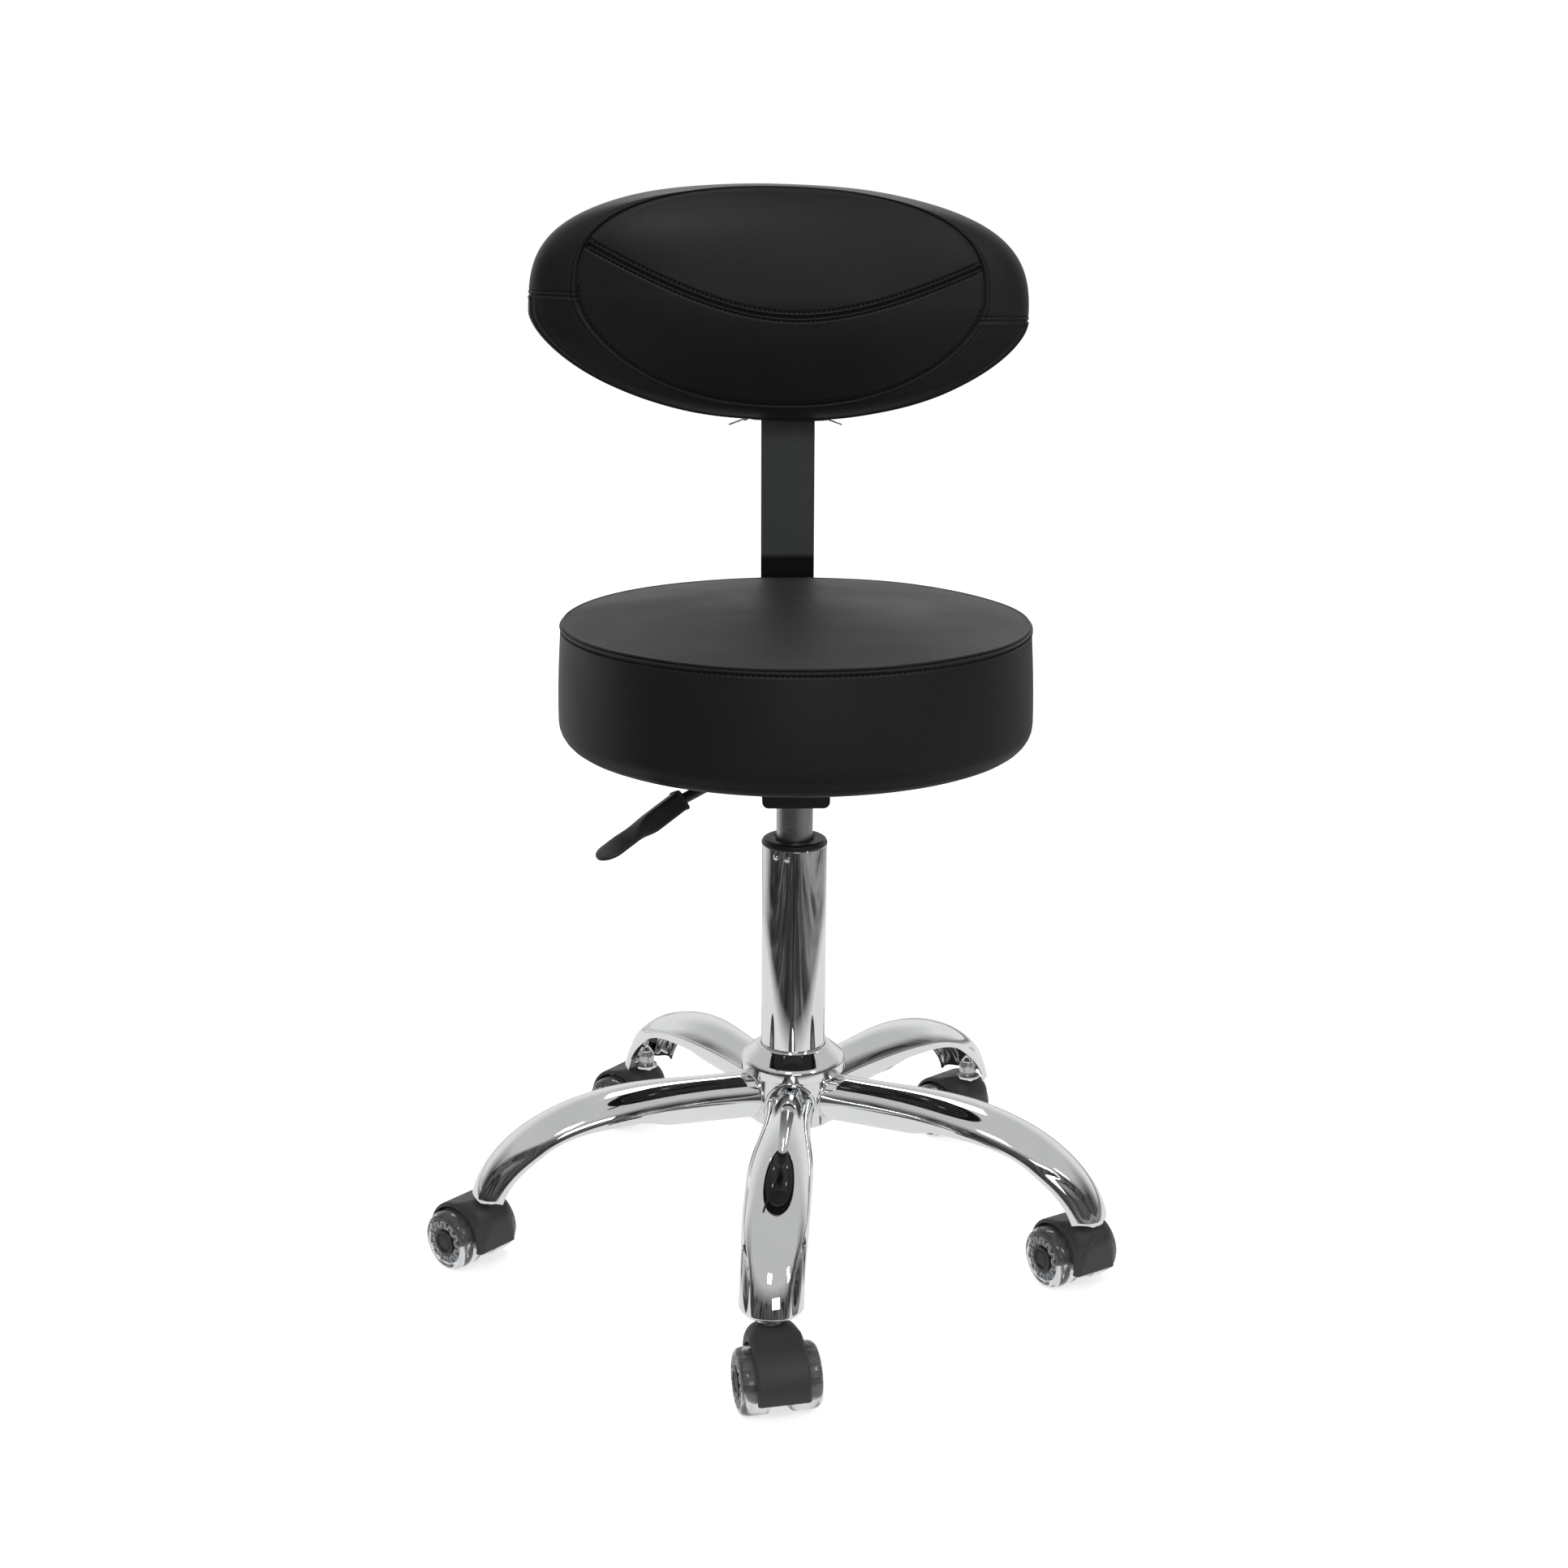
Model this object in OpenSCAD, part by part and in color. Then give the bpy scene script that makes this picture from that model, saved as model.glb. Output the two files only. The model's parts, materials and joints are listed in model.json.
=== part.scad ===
// Rolling stylist stool: five-leg base on twin-wheel casters, gas lift, round
// padded seat and a padded back rest on a flat bar.
// Millimetres, +Z up. The origin is on the floor under the column axis and the
// sitter faces -Y. Drawn at rest: lift at its lowest, lever up, back rest slid in.

/* [Seat] */
// Diameter of the seat over its welt seam
seat_seam_d = 350; // [334:1:360]
// How far the side wall bulges beyond the seam
seat_bulge = 3; // [1:0.5:5]
// Height of the rim seam above the seat underside
seat_wall = 92; // [86:1:97]
// Rise of the crowned top above the rim seam
seat_crown = 8; // [4:1:12]
// Radius of the soft lower edge
seat_edge_r = 19; // [14:1:26]
// Thickness of the plywood seat board
seat_board_t = 12; // [9:1:15]

/* [Back rest] */
// Width of the back pad
pad_w = 406; // [380:1:420]
// Height of the back pad above the floor, at its screws
pad_z = 709; // [702:1:716]
// Height of the pad's upper half
pad_up = 105.5; // [98:0.5:110]
// Height of the pad's lower half
pad_down = 81.5; // [76:0.5:88]
// Sideways offset of the pad from the bar
pad_shift = -8.5; // [-10:0.5:10]
// Small turn of the pad on its screws
pad_roll = 1.5; // [0:0.5:3]
// Backward lean of the bar between seat and pad
bar_lean = 3; // [1:0.5:4]
// Width of the flat back bar
bar_w = 44; // [38:1:46]
// How far the back rest can be slid outward
back_travel = 35; // [10:1:40]

/* [Lift] */
// Outside diameter of the chrome column
column_d = 50; // [48:1:51]
// Diameter of the sliding gas cylinder
cylinder_d = 28; // [27:0.5:29]
// Stroke of the gas lift
lift_travel = 130; // [60:5:130]

/* [Release lever] */
// Direction in which the lever points, from +X
lever_turn = -135; // [-140:1:-130]
// Downward slope of the outer half of the lever
lever_slope = 20; // [14:1:24]
// Length of the lever's hand grip
grip_len = 83; // [78:1:90]

/* [Base] */
// Radius of the circle through the five caster stems
stem_circle_r = 242; // [239:1:246]
// Turn of the whole base about the column
base_turn = -5.5; // [-36:0.5:36]
// Widest part of a leg
leg_w = 48.5; // [44:0.5:50]
// Width of a leg at its tip
leg_tip_w = 45.5; // [40:0.5:47]

/* [Casters] */
// Diameter of a caster wheel
wheel_d = 46.5; // [44:0.5:47]
// Distance from the stem back to the axle
trail = 20.5; // [17:0.5:22]
// Direction in which the front caster trails, from +X
caster_1_turn = -79; // [-180:1:180]
// Direction in which the front right caster trails, from +X
caster_2_turn = 120; // [-180:1:180]
// Direction in which the back right caster trails, from +X
caster_3_turn = 129; // [-180:1:180]
// Direction in which the back left caster trails, from +X
caster_4_turn = 142; // [-180:1:180]
// Direction in which the front left caster trails, from +X
caster_5_turn = 138; // [-180:1:180]

/* [Hidden] */
$fn = 64;
eps = 0.5;           // overshoot of a cutting tool
slip = 0.05;         // radial clearance of a running fit

// Heights along the column
hub_bottom_z = 102.5;
hub_top_z = 164;
column_bottom_z = hub_bottom_z + 8;
column_top_z = 326.5;
collar_top_z = 331;
collar_tail_z = column_top_z - 47;
cylinder_bottom_z = column_bottom_z + 28;
cylinder_top_z = 385;
box_bottom_z = 361.5;
seat_z = 408;        // underside of the seat
plate_t = 3;         // sheet steel of the swivel plate
plate_z = seat_z - plate_t;
column_wall = 2;
floor_t = 4;         // closed lower end of the column
floor_top_z = column_bottom_z + floor_t;

// Piston rod, its bearing and stops
rod_d = 10;
neck_d = 8;
neck_bottom_z = column_bottom_z - 6;
bearing_t = 7;
shoulder_z = floor_top_z + bearing_t + 0.1;
piston_t = 14;
piston_top_z = cylinder_top_z - 19;
bumper_t = 14;
pin_d = 8;
pin_bottom_z = cylinder_top_z - 12;

// Release lever
lever_d = 8;
lever_z = 396.5;
pivot_r = 20;        // pivot distance from the column axis
pivot_d = 5;
ear_in = 5;          // inner faces of the two pivot ears, from the lever's plane
ear_out = 8;
ear_half = 5;
pin_top_z = lever_z - lever_d / 2 - slip;
bend_r = 60;         // where the lever first bends down
grip_start_r = 121.5;
bend_drop = 12;      // fall of the rod between its two bends
rod_in_grip = 34;
grip_h = 15;         // height and width of the grip at its mouth
grip_w = 14;
paddle_w = 22;       // width of the grip's flat outer end
slot_r0 = 25.5;      // slot in the swivel plate's wall that the lever swings in
slot_r1 = 50;
slot_side = 1.5;
slot_drop = 14;

// Swivel plate
box_w = 51;
box_front = 28;
box_rear = 62;
plate_w = 150;
plate_front = 75;
plate_rear = 136;
bolt_x = 64;
bolt_y = 42;
bolt_d = 8;

// Bar and its guide
bar_t = 6;
bar_z = plate_z - 6.3;  // mid-plane of the bar where it lies under the seat
bar_y0 = 68;         // inner end at rest
bar_up_y = 197;      // where the bar stands up behind the seat
bend_bar_r = 18;
guide_y0 = 64.5;
guide_y1 = 134;
guide_gap = 0.2;
guide_wall = 2.9;
knob_y = 99;
knob_d = 34;

// Seat
seam_r = seat_seam_d / 2;
cover_t = 1.2;
rim_z = seat_z + seat_wall;
wall_r = seam_r + seat_bulge;
seat_board_r = wall_r - seat_edge_r - 2;
dust_r = 138;

// Back pad
pad_mid_y = 200;     // plane of the widest outline
pad_power = [2.2, 3.1, 1.52];  // roundness of that outline: sideways, up, down
pad_half_d = 35;     // depth of the border on each side of that plane
pad_crown = 17;      // bulge of the front panel
pad_back_bulge = 3;
board_y0 = 194.8;
board_t = 10;
board_x = 150;
board_up = 80;
board_down = 58;
bar_pad_y = 207.9;   // mid-plane of the bar inside the pad
bar_top_z = pad_z + 70;
bar_gap = 1;         // room left beside the bar inside the pad
screw_x = 12;
screw_dz = 34;
pull_x = 34;         // zip pulls on each side of the bar
pull_y = 205;
pull_w = 8;

// Hub and legs
hub_r = 33.5;
hub_ring_r = 41;
leg_wall = 2;
tube_r = 18;
hub_gap = 0.3;       // weld gap between a leg and the hub
leg_flat_r = 95;     // where a leg starts to curve down
leg_top_z = 140.5;
leg_drop = 95;
leg_reach = stem_circle_r + 14 - leg_flat_r;
leg_bow = 0.9;       // below 1, a leg bows out before it turns down
leg_end_t = 80.5;    // angle through the curve at which a leg ends
leg_deep = 16;
arc_steps = 12;
flat_steps = 4;
ring_steps = 14;

// Casters
axle_z = wheel_d / 2;
axle_d = 6;
wheel_w = 22.5;
wheel_in = 6;       // inner face of a wheel from the caster's middle plane
hood_w = 37.5;
hood_gap = 2.8;
hood_wall = 2;
hood_in_r = wheel_d / 2 + hood_gap;
hood_out_r = hood_in_r + hood_wall;
hood_web = 8;
hood_foot_z = 18;
hood_top_z = 56.5;
nose_r = 16;         // round of the hood's nose
nose_x = 4;
nose_foot_x = -9.5;
stem_d = 11;
stem_foot_z = 37;
stem_top_z = 71.5;
flange_d = 20;
flange_t = 1.6;
socket_d = 15;
socket_z = hood_top_z + flange_t + 0.4;
socket_taper = 4;    // length of the socket's tapered lower end
socket_tab = 2;      // reach and half width of the tab on the socket
core_r = 13.5;
tooth_r = 17.2;
tooth_w = 4.3;
teeth = 12;
tooth_end = sqrt(pow(tooth_r - slip, 2) - pow(tooth_w / 2, 2)) - slip;
cap_r = 9.8;

chrome = [0.82, 0.83, 0.85];
steel = [0.6, 0.61, 0.62];
dark = [0.13, 0.13, 0.14];
charcoal = [0.22, 0.22, 0.23];
vinyl = [0.12, 0.12, 0.12];
clear_grey = [0.62, 0.63, 0.65, 0.6];
core_grey = [0.5, 0.51, 0.53];

// ---- helpers ---------------------------------------------------------------

// Signed power, for superellipse outlines
function spow(v, p) = v < 0 ? -pow(-v, p) : pow(v, p);

// Upright ring between two radii and two heights
module ring(r_in, r_out, z0, z1) {
    translate([0, 0, z0])
    difference() {
        cylinder(r = r_out, h = z1 - z0);
        translate([0, 0, -eps])
            cylinder(r = r_in, h = z1 - z0 + 2 * eps);
    }
}

// Upright rod from one height to another
module rod(d, z0, z1) {
    translate([0, 0, z0])
        cylinder(d = d, h = z1 - z0);
}

// Box given by its two corners
module corners(a, b) {
    translate(a)
        cube(b - a);
}

// Lays a drawing of the XZ plane down and gives it a width along Y
module across(w) {
    translate([0, w / 2, 0])
    rotate([90, 0, 0])
    linear_extrude(height = w)
        children();
}

// Azimuth of leg i, counted from the front one
function leg_azimuth(i) = -90 + base_turn + 72 * (i - 1);

// ---- base ------------------------------------------------------------------

module base_hub() {
    color(chrome)
    rotate_extrude()
    polygon([
        [column_d / 2, hub_bottom_z],
        [hub_r - 1, hub_bottom_z],
        [hub_r, hub_bottom_z + 1],
        [hub_r, leg_top_z + 1],
        [hub_ring_r, leg_top_z + 2.5],
        [hub_ring_r, hub_top_z - 12],
        [hub_ring_r - 2, hub_top_z - 9],
        [column_d / 2 + 3, hub_top_z],
        [column_d / 2, hub_top_z]
    ]);
}

// Leg stations: s runs 0..flat_steps on the straight run, then along the arc
leg_steps = flat_steps + arc_steps;
function arc_t(s) = (s - flat_steps) * leg_end_t / arc_steps;
function leg_top_r(s) = s <= flat_steps
    ? hub_r + (leg_flat_r - hub_r) * s / flat_steps
    : leg_flat_r + leg_reach * pow(sin(arc_t(s)), leg_bow);
function leg_top_h(s) = s <= flat_steps
    ? leg_top_z
    : leg_top_z - leg_drop * (1 - cos(arc_t(s)));
function leg_pitch(s) = s <= flat_steps
    ? 0
    : atan2(-leg_drop * sin(arc_t(s)),
        leg_reach * leg_bow * pow(sin(arc_t(s)), leg_bow - 1) * cos(arc_t(s)));

// Smooth step from 0 to 1 between a and b
function blend(a, b, v) =
    let (u = min(1, max(0, (v - a) / (b - a))))
    u * u * (3 - 2 * u);

function leg_half_w(r) = tube_r
    + (leg_w / 2 - tube_r) * blend(60, 160, r)
    - (leg_w - leg_tip_w) / 2 * blend(190, 250, r);
function leg_half_h(r) = tube_r - (tube_r - leg_deep) * blend(80, 200, r);

// Half of the angle that the wall wraps: a closed tube opening to a channel
function leg_wrap(r) = 176 - 66 * blend(75, 130, r) - 14 * blend(120, 200, r);

// Point of the wall at station s and angle q, sunk below the outer skin
function leg_point(s, q, sink) =
    let (
        r = leg_top_r(s),
        p = leg_pitch(s),
        h = leg_half_h(r),
        y = (leg_half_w(r) - sink) * sin(q),
        n = (h - sink) * cos(q) - h,
        x0 = s == 0 ? sqrt(hub_r * hub_r - y * y) + hub_gap : r
    )
    [x0 - n * sin(p), y, leg_top_h(s) + n * cos(p)];

function leg_loop(s) =
    let (w = leg_wrap(leg_top_r(s)))
    concat(
        [for (i = [0 : ring_steps]) leg_point(s, -w + 2 * w * i / ring_steps, 0)],
        [for (i = [0 : ring_steps]) leg_point(s, w - 2 * w * i / ring_steps, leg_wall)]
    );

module leg() {
    m = 2 * (ring_steps + 1);
    points = [for (s = [0 : leg_steps]) for (p = leg_loop(s)) p];
    sides = [for (s = [0 : leg_steps - 1]) for (i = [0 : m - 1])
        for (tri = [
            [s * m + i, s * m + (i + 1) % m, (s + 1) * m + i],
            [s * m + (i + 1) % m, (s + 1) * m + (i + 1) % m, (s + 1) * m + i]
        ]) tri];
    first_end = [for (i = [0 : ring_steps - 1])
        for (tri = [
            [i, m - 1 - i, i + 1],
            [i + 1, m - 1 - i, m - 2 - i]
        ]) tri];
    last = leg_steps * m;
    last_end = [for (i = [0 : ring_steps - 1])
        for (tri = [
            [last + i, last + i + 1, last + m - 1 - i],
            [last + i + 1, last + m - 2 - i, last + m - 1 - i]
        ]) tri];
    polyhedron(points = points, faces = concat(sides, first_end, last_end));
}

module base_legs() {
    color(chrome)
    for (i = [1 : 5])
        rotate([0, 0, leg_azimuth(i)])
            leg();
}

module caster_socket() {
    difference() {
        union() {
            translate([0, 0, socket_z])
                cylinder(d1 = socket_d - 2, d2 = socket_d, h = socket_taper);
            rod(socket_d, socket_z + socket_taper, stem_top_z - 4);
            translate([0, 0, stem_top_z - 4])
                cylinder(d1 = socket_d, d2 = socket_d - 3, h = 3);
            corners([-socket_d / 2 - socket_tab, -socket_tab, socket_z + socket_taper],
                [-socket_d / 2 + socket_tab, socket_tab, stem_top_z - 4]);
        }
        rod(stem_d + 2 * slip, hood_top_z, stem_top_z);
    }
}

module caster_sockets() {
    color(steel)
    for (i = [1 : 5])
        rotate([0, 0, leg_azimuth(i)])
        translate([stem_circle_r, 0, 0])
            caster_socket();
}

// ---- lift ------------------------------------------------------------------

module column_tube() {
    color(chrome)
    difference() {
        rod(column_d, column_bottom_z, column_top_z);
        rod(column_d - 2 * column_wall, floor_top_z, column_top_z + eps);
        rod(neck_d + 2 * slip, column_bottom_z - eps, floor_top_z + eps);
    }
}

module column_collar() {
    color(dark)
    difference() {
        union() {
            rod(column_d - 2 * column_wall, collar_tail_z, column_top_z);
            rod(column_d, column_top_z, collar_top_z - 2);
            translate([0, 0, collar_top_z - 2])
                cylinder(d1 = column_d, d2 = column_d - 4, h = 2);
        }
        rod(cylinder_d + 2 * slip, collar_tail_z - eps, collar_top_z + eps);
    }
}

module thrust_bearing() {
    color(steel) {
        ring(neck_d / 2 + slip, 14, floor_top_z, floor_top_z + 2);
        ring(neck_d / 2 + 2, 12, floor_top_z + 2, floor_top_z + bearing_t - 2);
        ring(neck_d / 2 + slip, 14, floor_top_z + bearing_t - 2, floor_top_z + bearing_t);
    }
}

module piston_rod() {
    color(steel) {
        difference() {
            union() {
                rod(neck_d, neck_bottom_z, shoulder_z);
                rod(rod_d, shoulder_z, piston_top_z);
                rod(cylinder_d - 4, piston_top_z - piston_t, piston_top_z);
            }
            ring(neck_d / 2 - 1, neck_d, column_bottom_z - 2, column_bottom_z - 0.4);
        }
    }
}

module rod_clip() {
    color(steel)
    difference() {
        ring(neck_d / 2 - 1, 7, column_bottom_z - 2, column_bottom_z - 0.4);
        corners([0, -2.5, column_bottom_z - 3], [8, 2.5, column_bottom_z]);
    }
}

module bumper() {
    color(dark)
    ring(rod_d / 2, 11, shoulder_z, shoulder_z + bumper_t);
}

module gas_cylinder() {
    color(steel)
    difference() {
        union() {
            rod(cylinder_d, cylinder_bottom_z, box_bottom_z + plate_t);
            translate([0, 0, box_bottom_z + plate_t])
                cylinder(d1 = cylinder_d, d2 = cylinder_d - 1.4, h = cylinder_top_z - box_bottom_z - plate_t);
        }
        rod(cylinder_d - 4 + 2 * slip, cylinder_bottom_z + 6, cylinder_top_z - 14);
        rod(rod_d + 2 * slip, cylinder_bottom_z - eps, cylinder_bottom_z + 7);
        rod(pin_d + 2 * slip, cylinder_top_z - 15, cylinder_top_z + eps);
    }
}

module release_pin() {
    color(steel) {
        rod(pin_d, pin_bottom_z, pin_top_z - pin_d / 2);
        translate([0, 0, pin_top_z - pin_d / 2])
        intersection() {
            sphere(d = pin_d);
            translate([-pin_d, -pin_d, 0])
                cube(2 * pin_d);
        }
    }
}

// ---- mechanism under the seat ----------------------------------------------

// Calls its children once at each of the four seat bolts
module at_bolts() {
    for (x = [-bolt_x, bolt_x])
        for (y = [-bolt_y, bolt_y])
            translate([x, y, 0])
                children();
}

// Box outline with rounded lower corners, seen along the bar
module box_outline(w, z0, z1, r) {
    polygon(concat(
        [[w / 2, z1], [-w / 2, z1]],
        [for (a = [180 : 15 : 270]) [-w / 2 + r + r * cos(a), z0 + r + r * sin(a)]],
        [for (a = [270 : 15 : 360]) [w / 2 - r + r * cos(a), z0 + r + r * sin(a)]]
    ));
}

module swivel_plate() {
    color(dark)
    difference() {
        union() {
            difference() {
                translate([0, (box_rear - box_front) / 2, 0])
                across(box_rear + box_front)
                    box_outline(box_w, box_bottom_z, plate_z, 5);
                translate([0, (box_rear - box_front) / 2, 0])
                across(box_rear + box_front - 2 * plate_t)
                    box_outline(box_w - 2 * plate_t, box_bottom_z + plate_t, plate_z + eps, 2.5);
            }
            corners([-plate_w / 2, -plate_front, plate_z], [plate_w / 2, plate_rear, seat_z]);
            rotate([0, 0, lever_turn])
            for (side = [0, 1])
                mirror([0, side, 0])
                corners([pivot_r - ear_half, ear_in, lever_z - ear_half],
                    [pivot_r + ear_half, ear_out, plate_z]);
        }
        rod(cylinder_d + 0.4, box_bottom_z - eps, box_bottom_z + plate_t + eps);
        at_bolts()
            rod(bolt_d + 0.4, plate_z - eps, seat_z + eps);
        rotate([0, 0, lever_turn]) {
            corners([slot_r0, -lever_d / 2 - slot_side, lever_z - slot_drop],
                [slot_r1, lever_d / 2 + slot_side, plate_z]);
            translate([pivot_r, -20, lever_z])
            rotate([-90, 0, 0])
                cylinder(d = pivot_d + 2 * slip, h = 40);
        }
    }
}

module cone_socket() {
    z0 = box_bottom_z + plate_t;
    color(steel)
    difference() {
        rod(cylinder_d + 12, z0, cylinder_top_z - 2);
        translate([0, 0, z0])
            cylinder(d1 = cylinder_d, d2 = cylinder_d - 1.4, h = cylinder_top_z - z0);
        rod(cylinder_d - 1.4, cylinder_top_z - 4, cylinder_top_z);
    }
}

// Straight stretch of the lever rod, rounded at its start, sloping down outward
module rod_stretch(x, z, slope, length) {
    translate([x, 0, z])
    rotate([0, slope, 0]) {
        sphere(d = lever_d);
        rotate([0, 90, 0])
            cylinder(d = lever_d, h = length);
    }
}

module lever_rod() {
    run = grip_start_r - bend_r;
    color(dark)
    rotate([0, 0, lever_turn]) {
        translate([pivot_r, -ear_out, lever_z])
        rotate([-90, 0, 0])
            cylinder(d = pivot_d, h = 2 * ear_out);
        rod_stretch(0, lever_z, 0, bend_r);
        rod_stretch(bend_r, lever_z, atan2(bend_drop, run), norm([run, bend_drop]));
        rod_stretch(grip_start_r, lever_z - bend_drop, lever_slope, rod_in_grip);
    }
}

// Side outline of the grip: a deep socket that thins into a paddle
module grip_side() {
    polygon([
        [0, -grip_h / 2], [0, grip_h / 2], [rod_in_grip, grip_h / 2], [rod_in_grip + 10, 5],
        [grip_len - 14, 2.5], [grip_len, 1], [grip_len, -1.5], [grip_len - 14, -3.5],
        [rod_in_grip + 10, -6], [rod_in_grip, -grip_h / 2]
    ]);
}

// Plan outline of the grip
module grip_plan() {
    r = paddle_w / 2;
    polygon(concat(
        [[0, -grip_w / 2], [rod_in_grip, -grip_w / 2], [grip_len - 2 * r, -r]],
        [for (a = [-70 : 20 : 70]) [grip_len - r + r * cos(a), r * sin(a)]],
        [[grip_len - 2 * r, r], [rod_in_grip, grip_w / 2], [0, grip_w / 2]]
    ));
}

module lever_grip() {
    color(dark)
    rotate([0, 0, lever_turn])
    translate([grip_start_r, 0, lever_z - bend_drop])
    rotate([0, lever_slope, 0])
    difference() {
        intersection() {
            across(40)
                grip_side();
            translate([0, 0, -20])
            linear_extrude(height = 40)
                grip_plan();
        }
        translate([-eps, 0, 0])
        rotate([0, 90, 0])
            cylinder(d = lever_d, h = rod_in_grip + eps);
    }
}

module seat_bolts() {
    color(steel)
    at_bolts() {
        rod(bolt_d, plate_z, seat_z + cover_t + seat_board_t - 2);
        rod(bolt_d + 7, plate_z - 5, plate_z);
    }
}

module bar_guide() {
    half_in = bar_w / 2 + guide_gap;
    half_out = half_in + guide_wall;
    z0 = bar_z - bar_t / 2 - guide_gap;
    z1 = bar_z + bar_t / 2 + guide_gap;
    color(dark)
    difference() {
        corners([-half_out, guide_y0, z0 - guide_wall], [half_out, guide_y1, plate_z]);
        corners([-half_in, guide_y0 - eps, z0], [half_in, guide_y1 + eps, z1]);
        translate([0, knob_y, 0])
            rod(bolt_d + 2 * slip, z0 - guide_wall - eps, z0 + eps);
    }
}

module clamp_knob() {
    top_z = bar_z - bar_t / 2 - slip;
    knob_z = bar_z - bar_t / 2 - guide_gap - guide_wall - 6;
    translate([0, knob_y, 0]) {
        color(steel)
            rod(bolt_d, knob_z - 4, top_z);
        color(dark)
        difference() {
            union() {
                rod(knob_d, knob_z - 18, knob_z - 6);
                translate([0, 0, knob_z - 6])
                    cylinder(d1 = knob_d, d2 = 16, h = 6);
            }
            rod(bolt_d, knob_z - 4, knob_z + eps);
            for (a = [0 : 60 : 300])
                rotate([0, 0, a])
                translate([knob_d / 2 + 4, 0, 0])
                    rod(14, knob_z - 20, knob_z + eps);
        }
    }
}

// ---- seat cushion ----------------------------------------------------------

// Half outline of the cushion, sunk below the outer skin, open at the axis
function seat_outline(sink) =
    let (
        r_seam = seam_r - sink,
        z_rim = rim_z - sink,
        z_low = seat_z + sink,
        er = seat_edge_r - sink,
        cx = wall_r - seat_edge_r,
        cz = seat_z + seat_edge_r
    )
    concat(
        [for (i = [0 : 10]) let (r = r_seam * i / 10)
            [r, z_rim + seat_crown * (1 - pow(r / r_seam, 3.2))]],
        [for (i = [1 : 6]) let (u = i / 6)
            [r_seam + seat_bulge * sin(90 * u), z_rim + (cz - z_rim) * u]],
        [for (a = [-10 : -10 : -80]) [cx + er * cos(a), cz + er * sin(a)]],
        [[cx, z_low]]
    );

module seat_board() {
    color([0.72, 0.58, 0.4])
    difference() {
        rod(2 * seat_board_r, seat_z + cover_t, seat_z + cover_t + seat_board_t);
        at_bolts() {
            rod(bolt_d, seat_z, seat_z + 60);
            rod(bolt_d + 3, seat_z + cover_t + seat_board_t - 9, seat_z + 60);
            rod(22, seat_z + cover_t + seat_board_t - 1.5, seat_z + 60);
        }
    }
}

module tee_nuts() {
    top = seat_z + cover_t + seat_board_t;
    color(steel)
    at_bolts() {
        ring(bolt_d / 2, bolt_d / 2 + 1.5, top - 9, top - 1.5);
        ring(bolt_d / 2, 11, top - 1.5, top);
    }
}

module seat_foam() {
    color([0.85, 0.8, 0.6])
    difference() {
        rotate_extrude($fn = 96)
            polygon(concat(seat_outline(cover_t), [[0, seat_z + cover_t]]));
        rod(2 * seat_board_r, seat_z, seat_z + cover_t + seat_board_t);
    }
}

module seat_cover() {
    color(vinyl)
    difference() {
        rotate_extrude($fn = 96)
            polygon(concat(seat_outline(0), [[0, seat_z]]));
        rotate_extrude($fn = 96)
            polygon(concat(seat_outline(cover_t), [[0, seat_z + cover_t]]));
        rod(2 * dust_r, seat_z - eps, seat_z + cover_t + eps);
    }
}

module dust_cover() {
    color(dark)
    difference() {
        rod(2 * dust_r, seat_z, seat_z + cover_t);
        at_bolts()
            rod(bolt_d, seat_z - eps, seat_z + cover_t + eps);
    }
}

// ---- back rest -------------------------------------------------------------

// Places its children on the pad's own middle, with its offset and turn
module at_pad() {
    translate([pad_shift, 0, pad_z])
    rotate([0, pad_roll, 0])
        children();
}

// Where the bar stops leaning and runs straight up inside the pad
turn = 90 - bar_lean;
stand_z = bar_z + bend_bar_r * (1 - cos(turn));
lean_top_z = stand_z + (bar_pad_y - bar_up_y) / tan(bar_lean);

// Middle line of the bar in the YZ plane
function bar_line() = concat(
    [[bar_y0, bar_z]],
    [for (i = [0 : 8]) let (a = turn * i / 8)
        [bar_up_y - bend_bar_r * (sin(turn) - sin(a)), bar_z + bend_bar_r * (1 - cos(a))]],
    [[bar_pad_y, lean_top_z], [bar_pad_y, bar_top_z]]
);

// Direction of the middle line at point i, averaged over its two neighbours
function bar_dir(line, i) =
    let (
        a = line[max(0, i - 1)],
        b = line[min(len(line) - 1, i + 1)]
    )
    atan2(b[1] - a[1], b[0] - a[0]);

module bar_side() {
    line = bar_line();
    n = len(line) - 1;
    half = bar_t / 2;
    polygon(concat(
        [for (i = [0 : n]) line[i] + half * [-sin(bar_dir(line, i)), cos(bar_dir(line, i))]],
        [for (i = [n : -1 : 0]) line[i] - half * [-sin(bar_dir(line, i)), cos(bar_dir(line, i))]]
    ));
}

// Calls its children at the four screws, in the pad's frame
module at_screws() {
    for (x = [-screw_x, screw_x])
        for (z = [-screw_dz, screw_dz])
            translate([x - pad_shift, 0, z])
            rotate([-90, 0, 0])
                children();
}

module back_bar() {
    color(charcoal)
    difference() {
        rotate([90, 0, 90])
        translate([0, 0, -bar_w / 2])
        linear_extrude(height = bar_w)
            bar_side();
        at_pad()
        at_screws()
            rod(6, board_y0, bar_pad_y + bar_t);
    }
}

// Plain board of the back pad, without its holes
module board_plate() {
    translate([0, board_y0, 0])
    rotate([-90, 0, 0])
    linear_extrude(height = board_t)
    polygon([for (i = [0 : 47]) let (a = 7.5 * i)
        [board_x * spow(cos(a), 0.8),
         (sin(a) < 0 ? board_up : board_down) * spow(sin(a), 0.9)]]);
}

module back_board() {
    color([0.72, 0.58, 0.4])
    at_pad()
    difference() {
        board_plate();
        at_screws()
            rod(4, board_y0 + 2, board_y0 + board_t + 1);
    }
}

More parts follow.
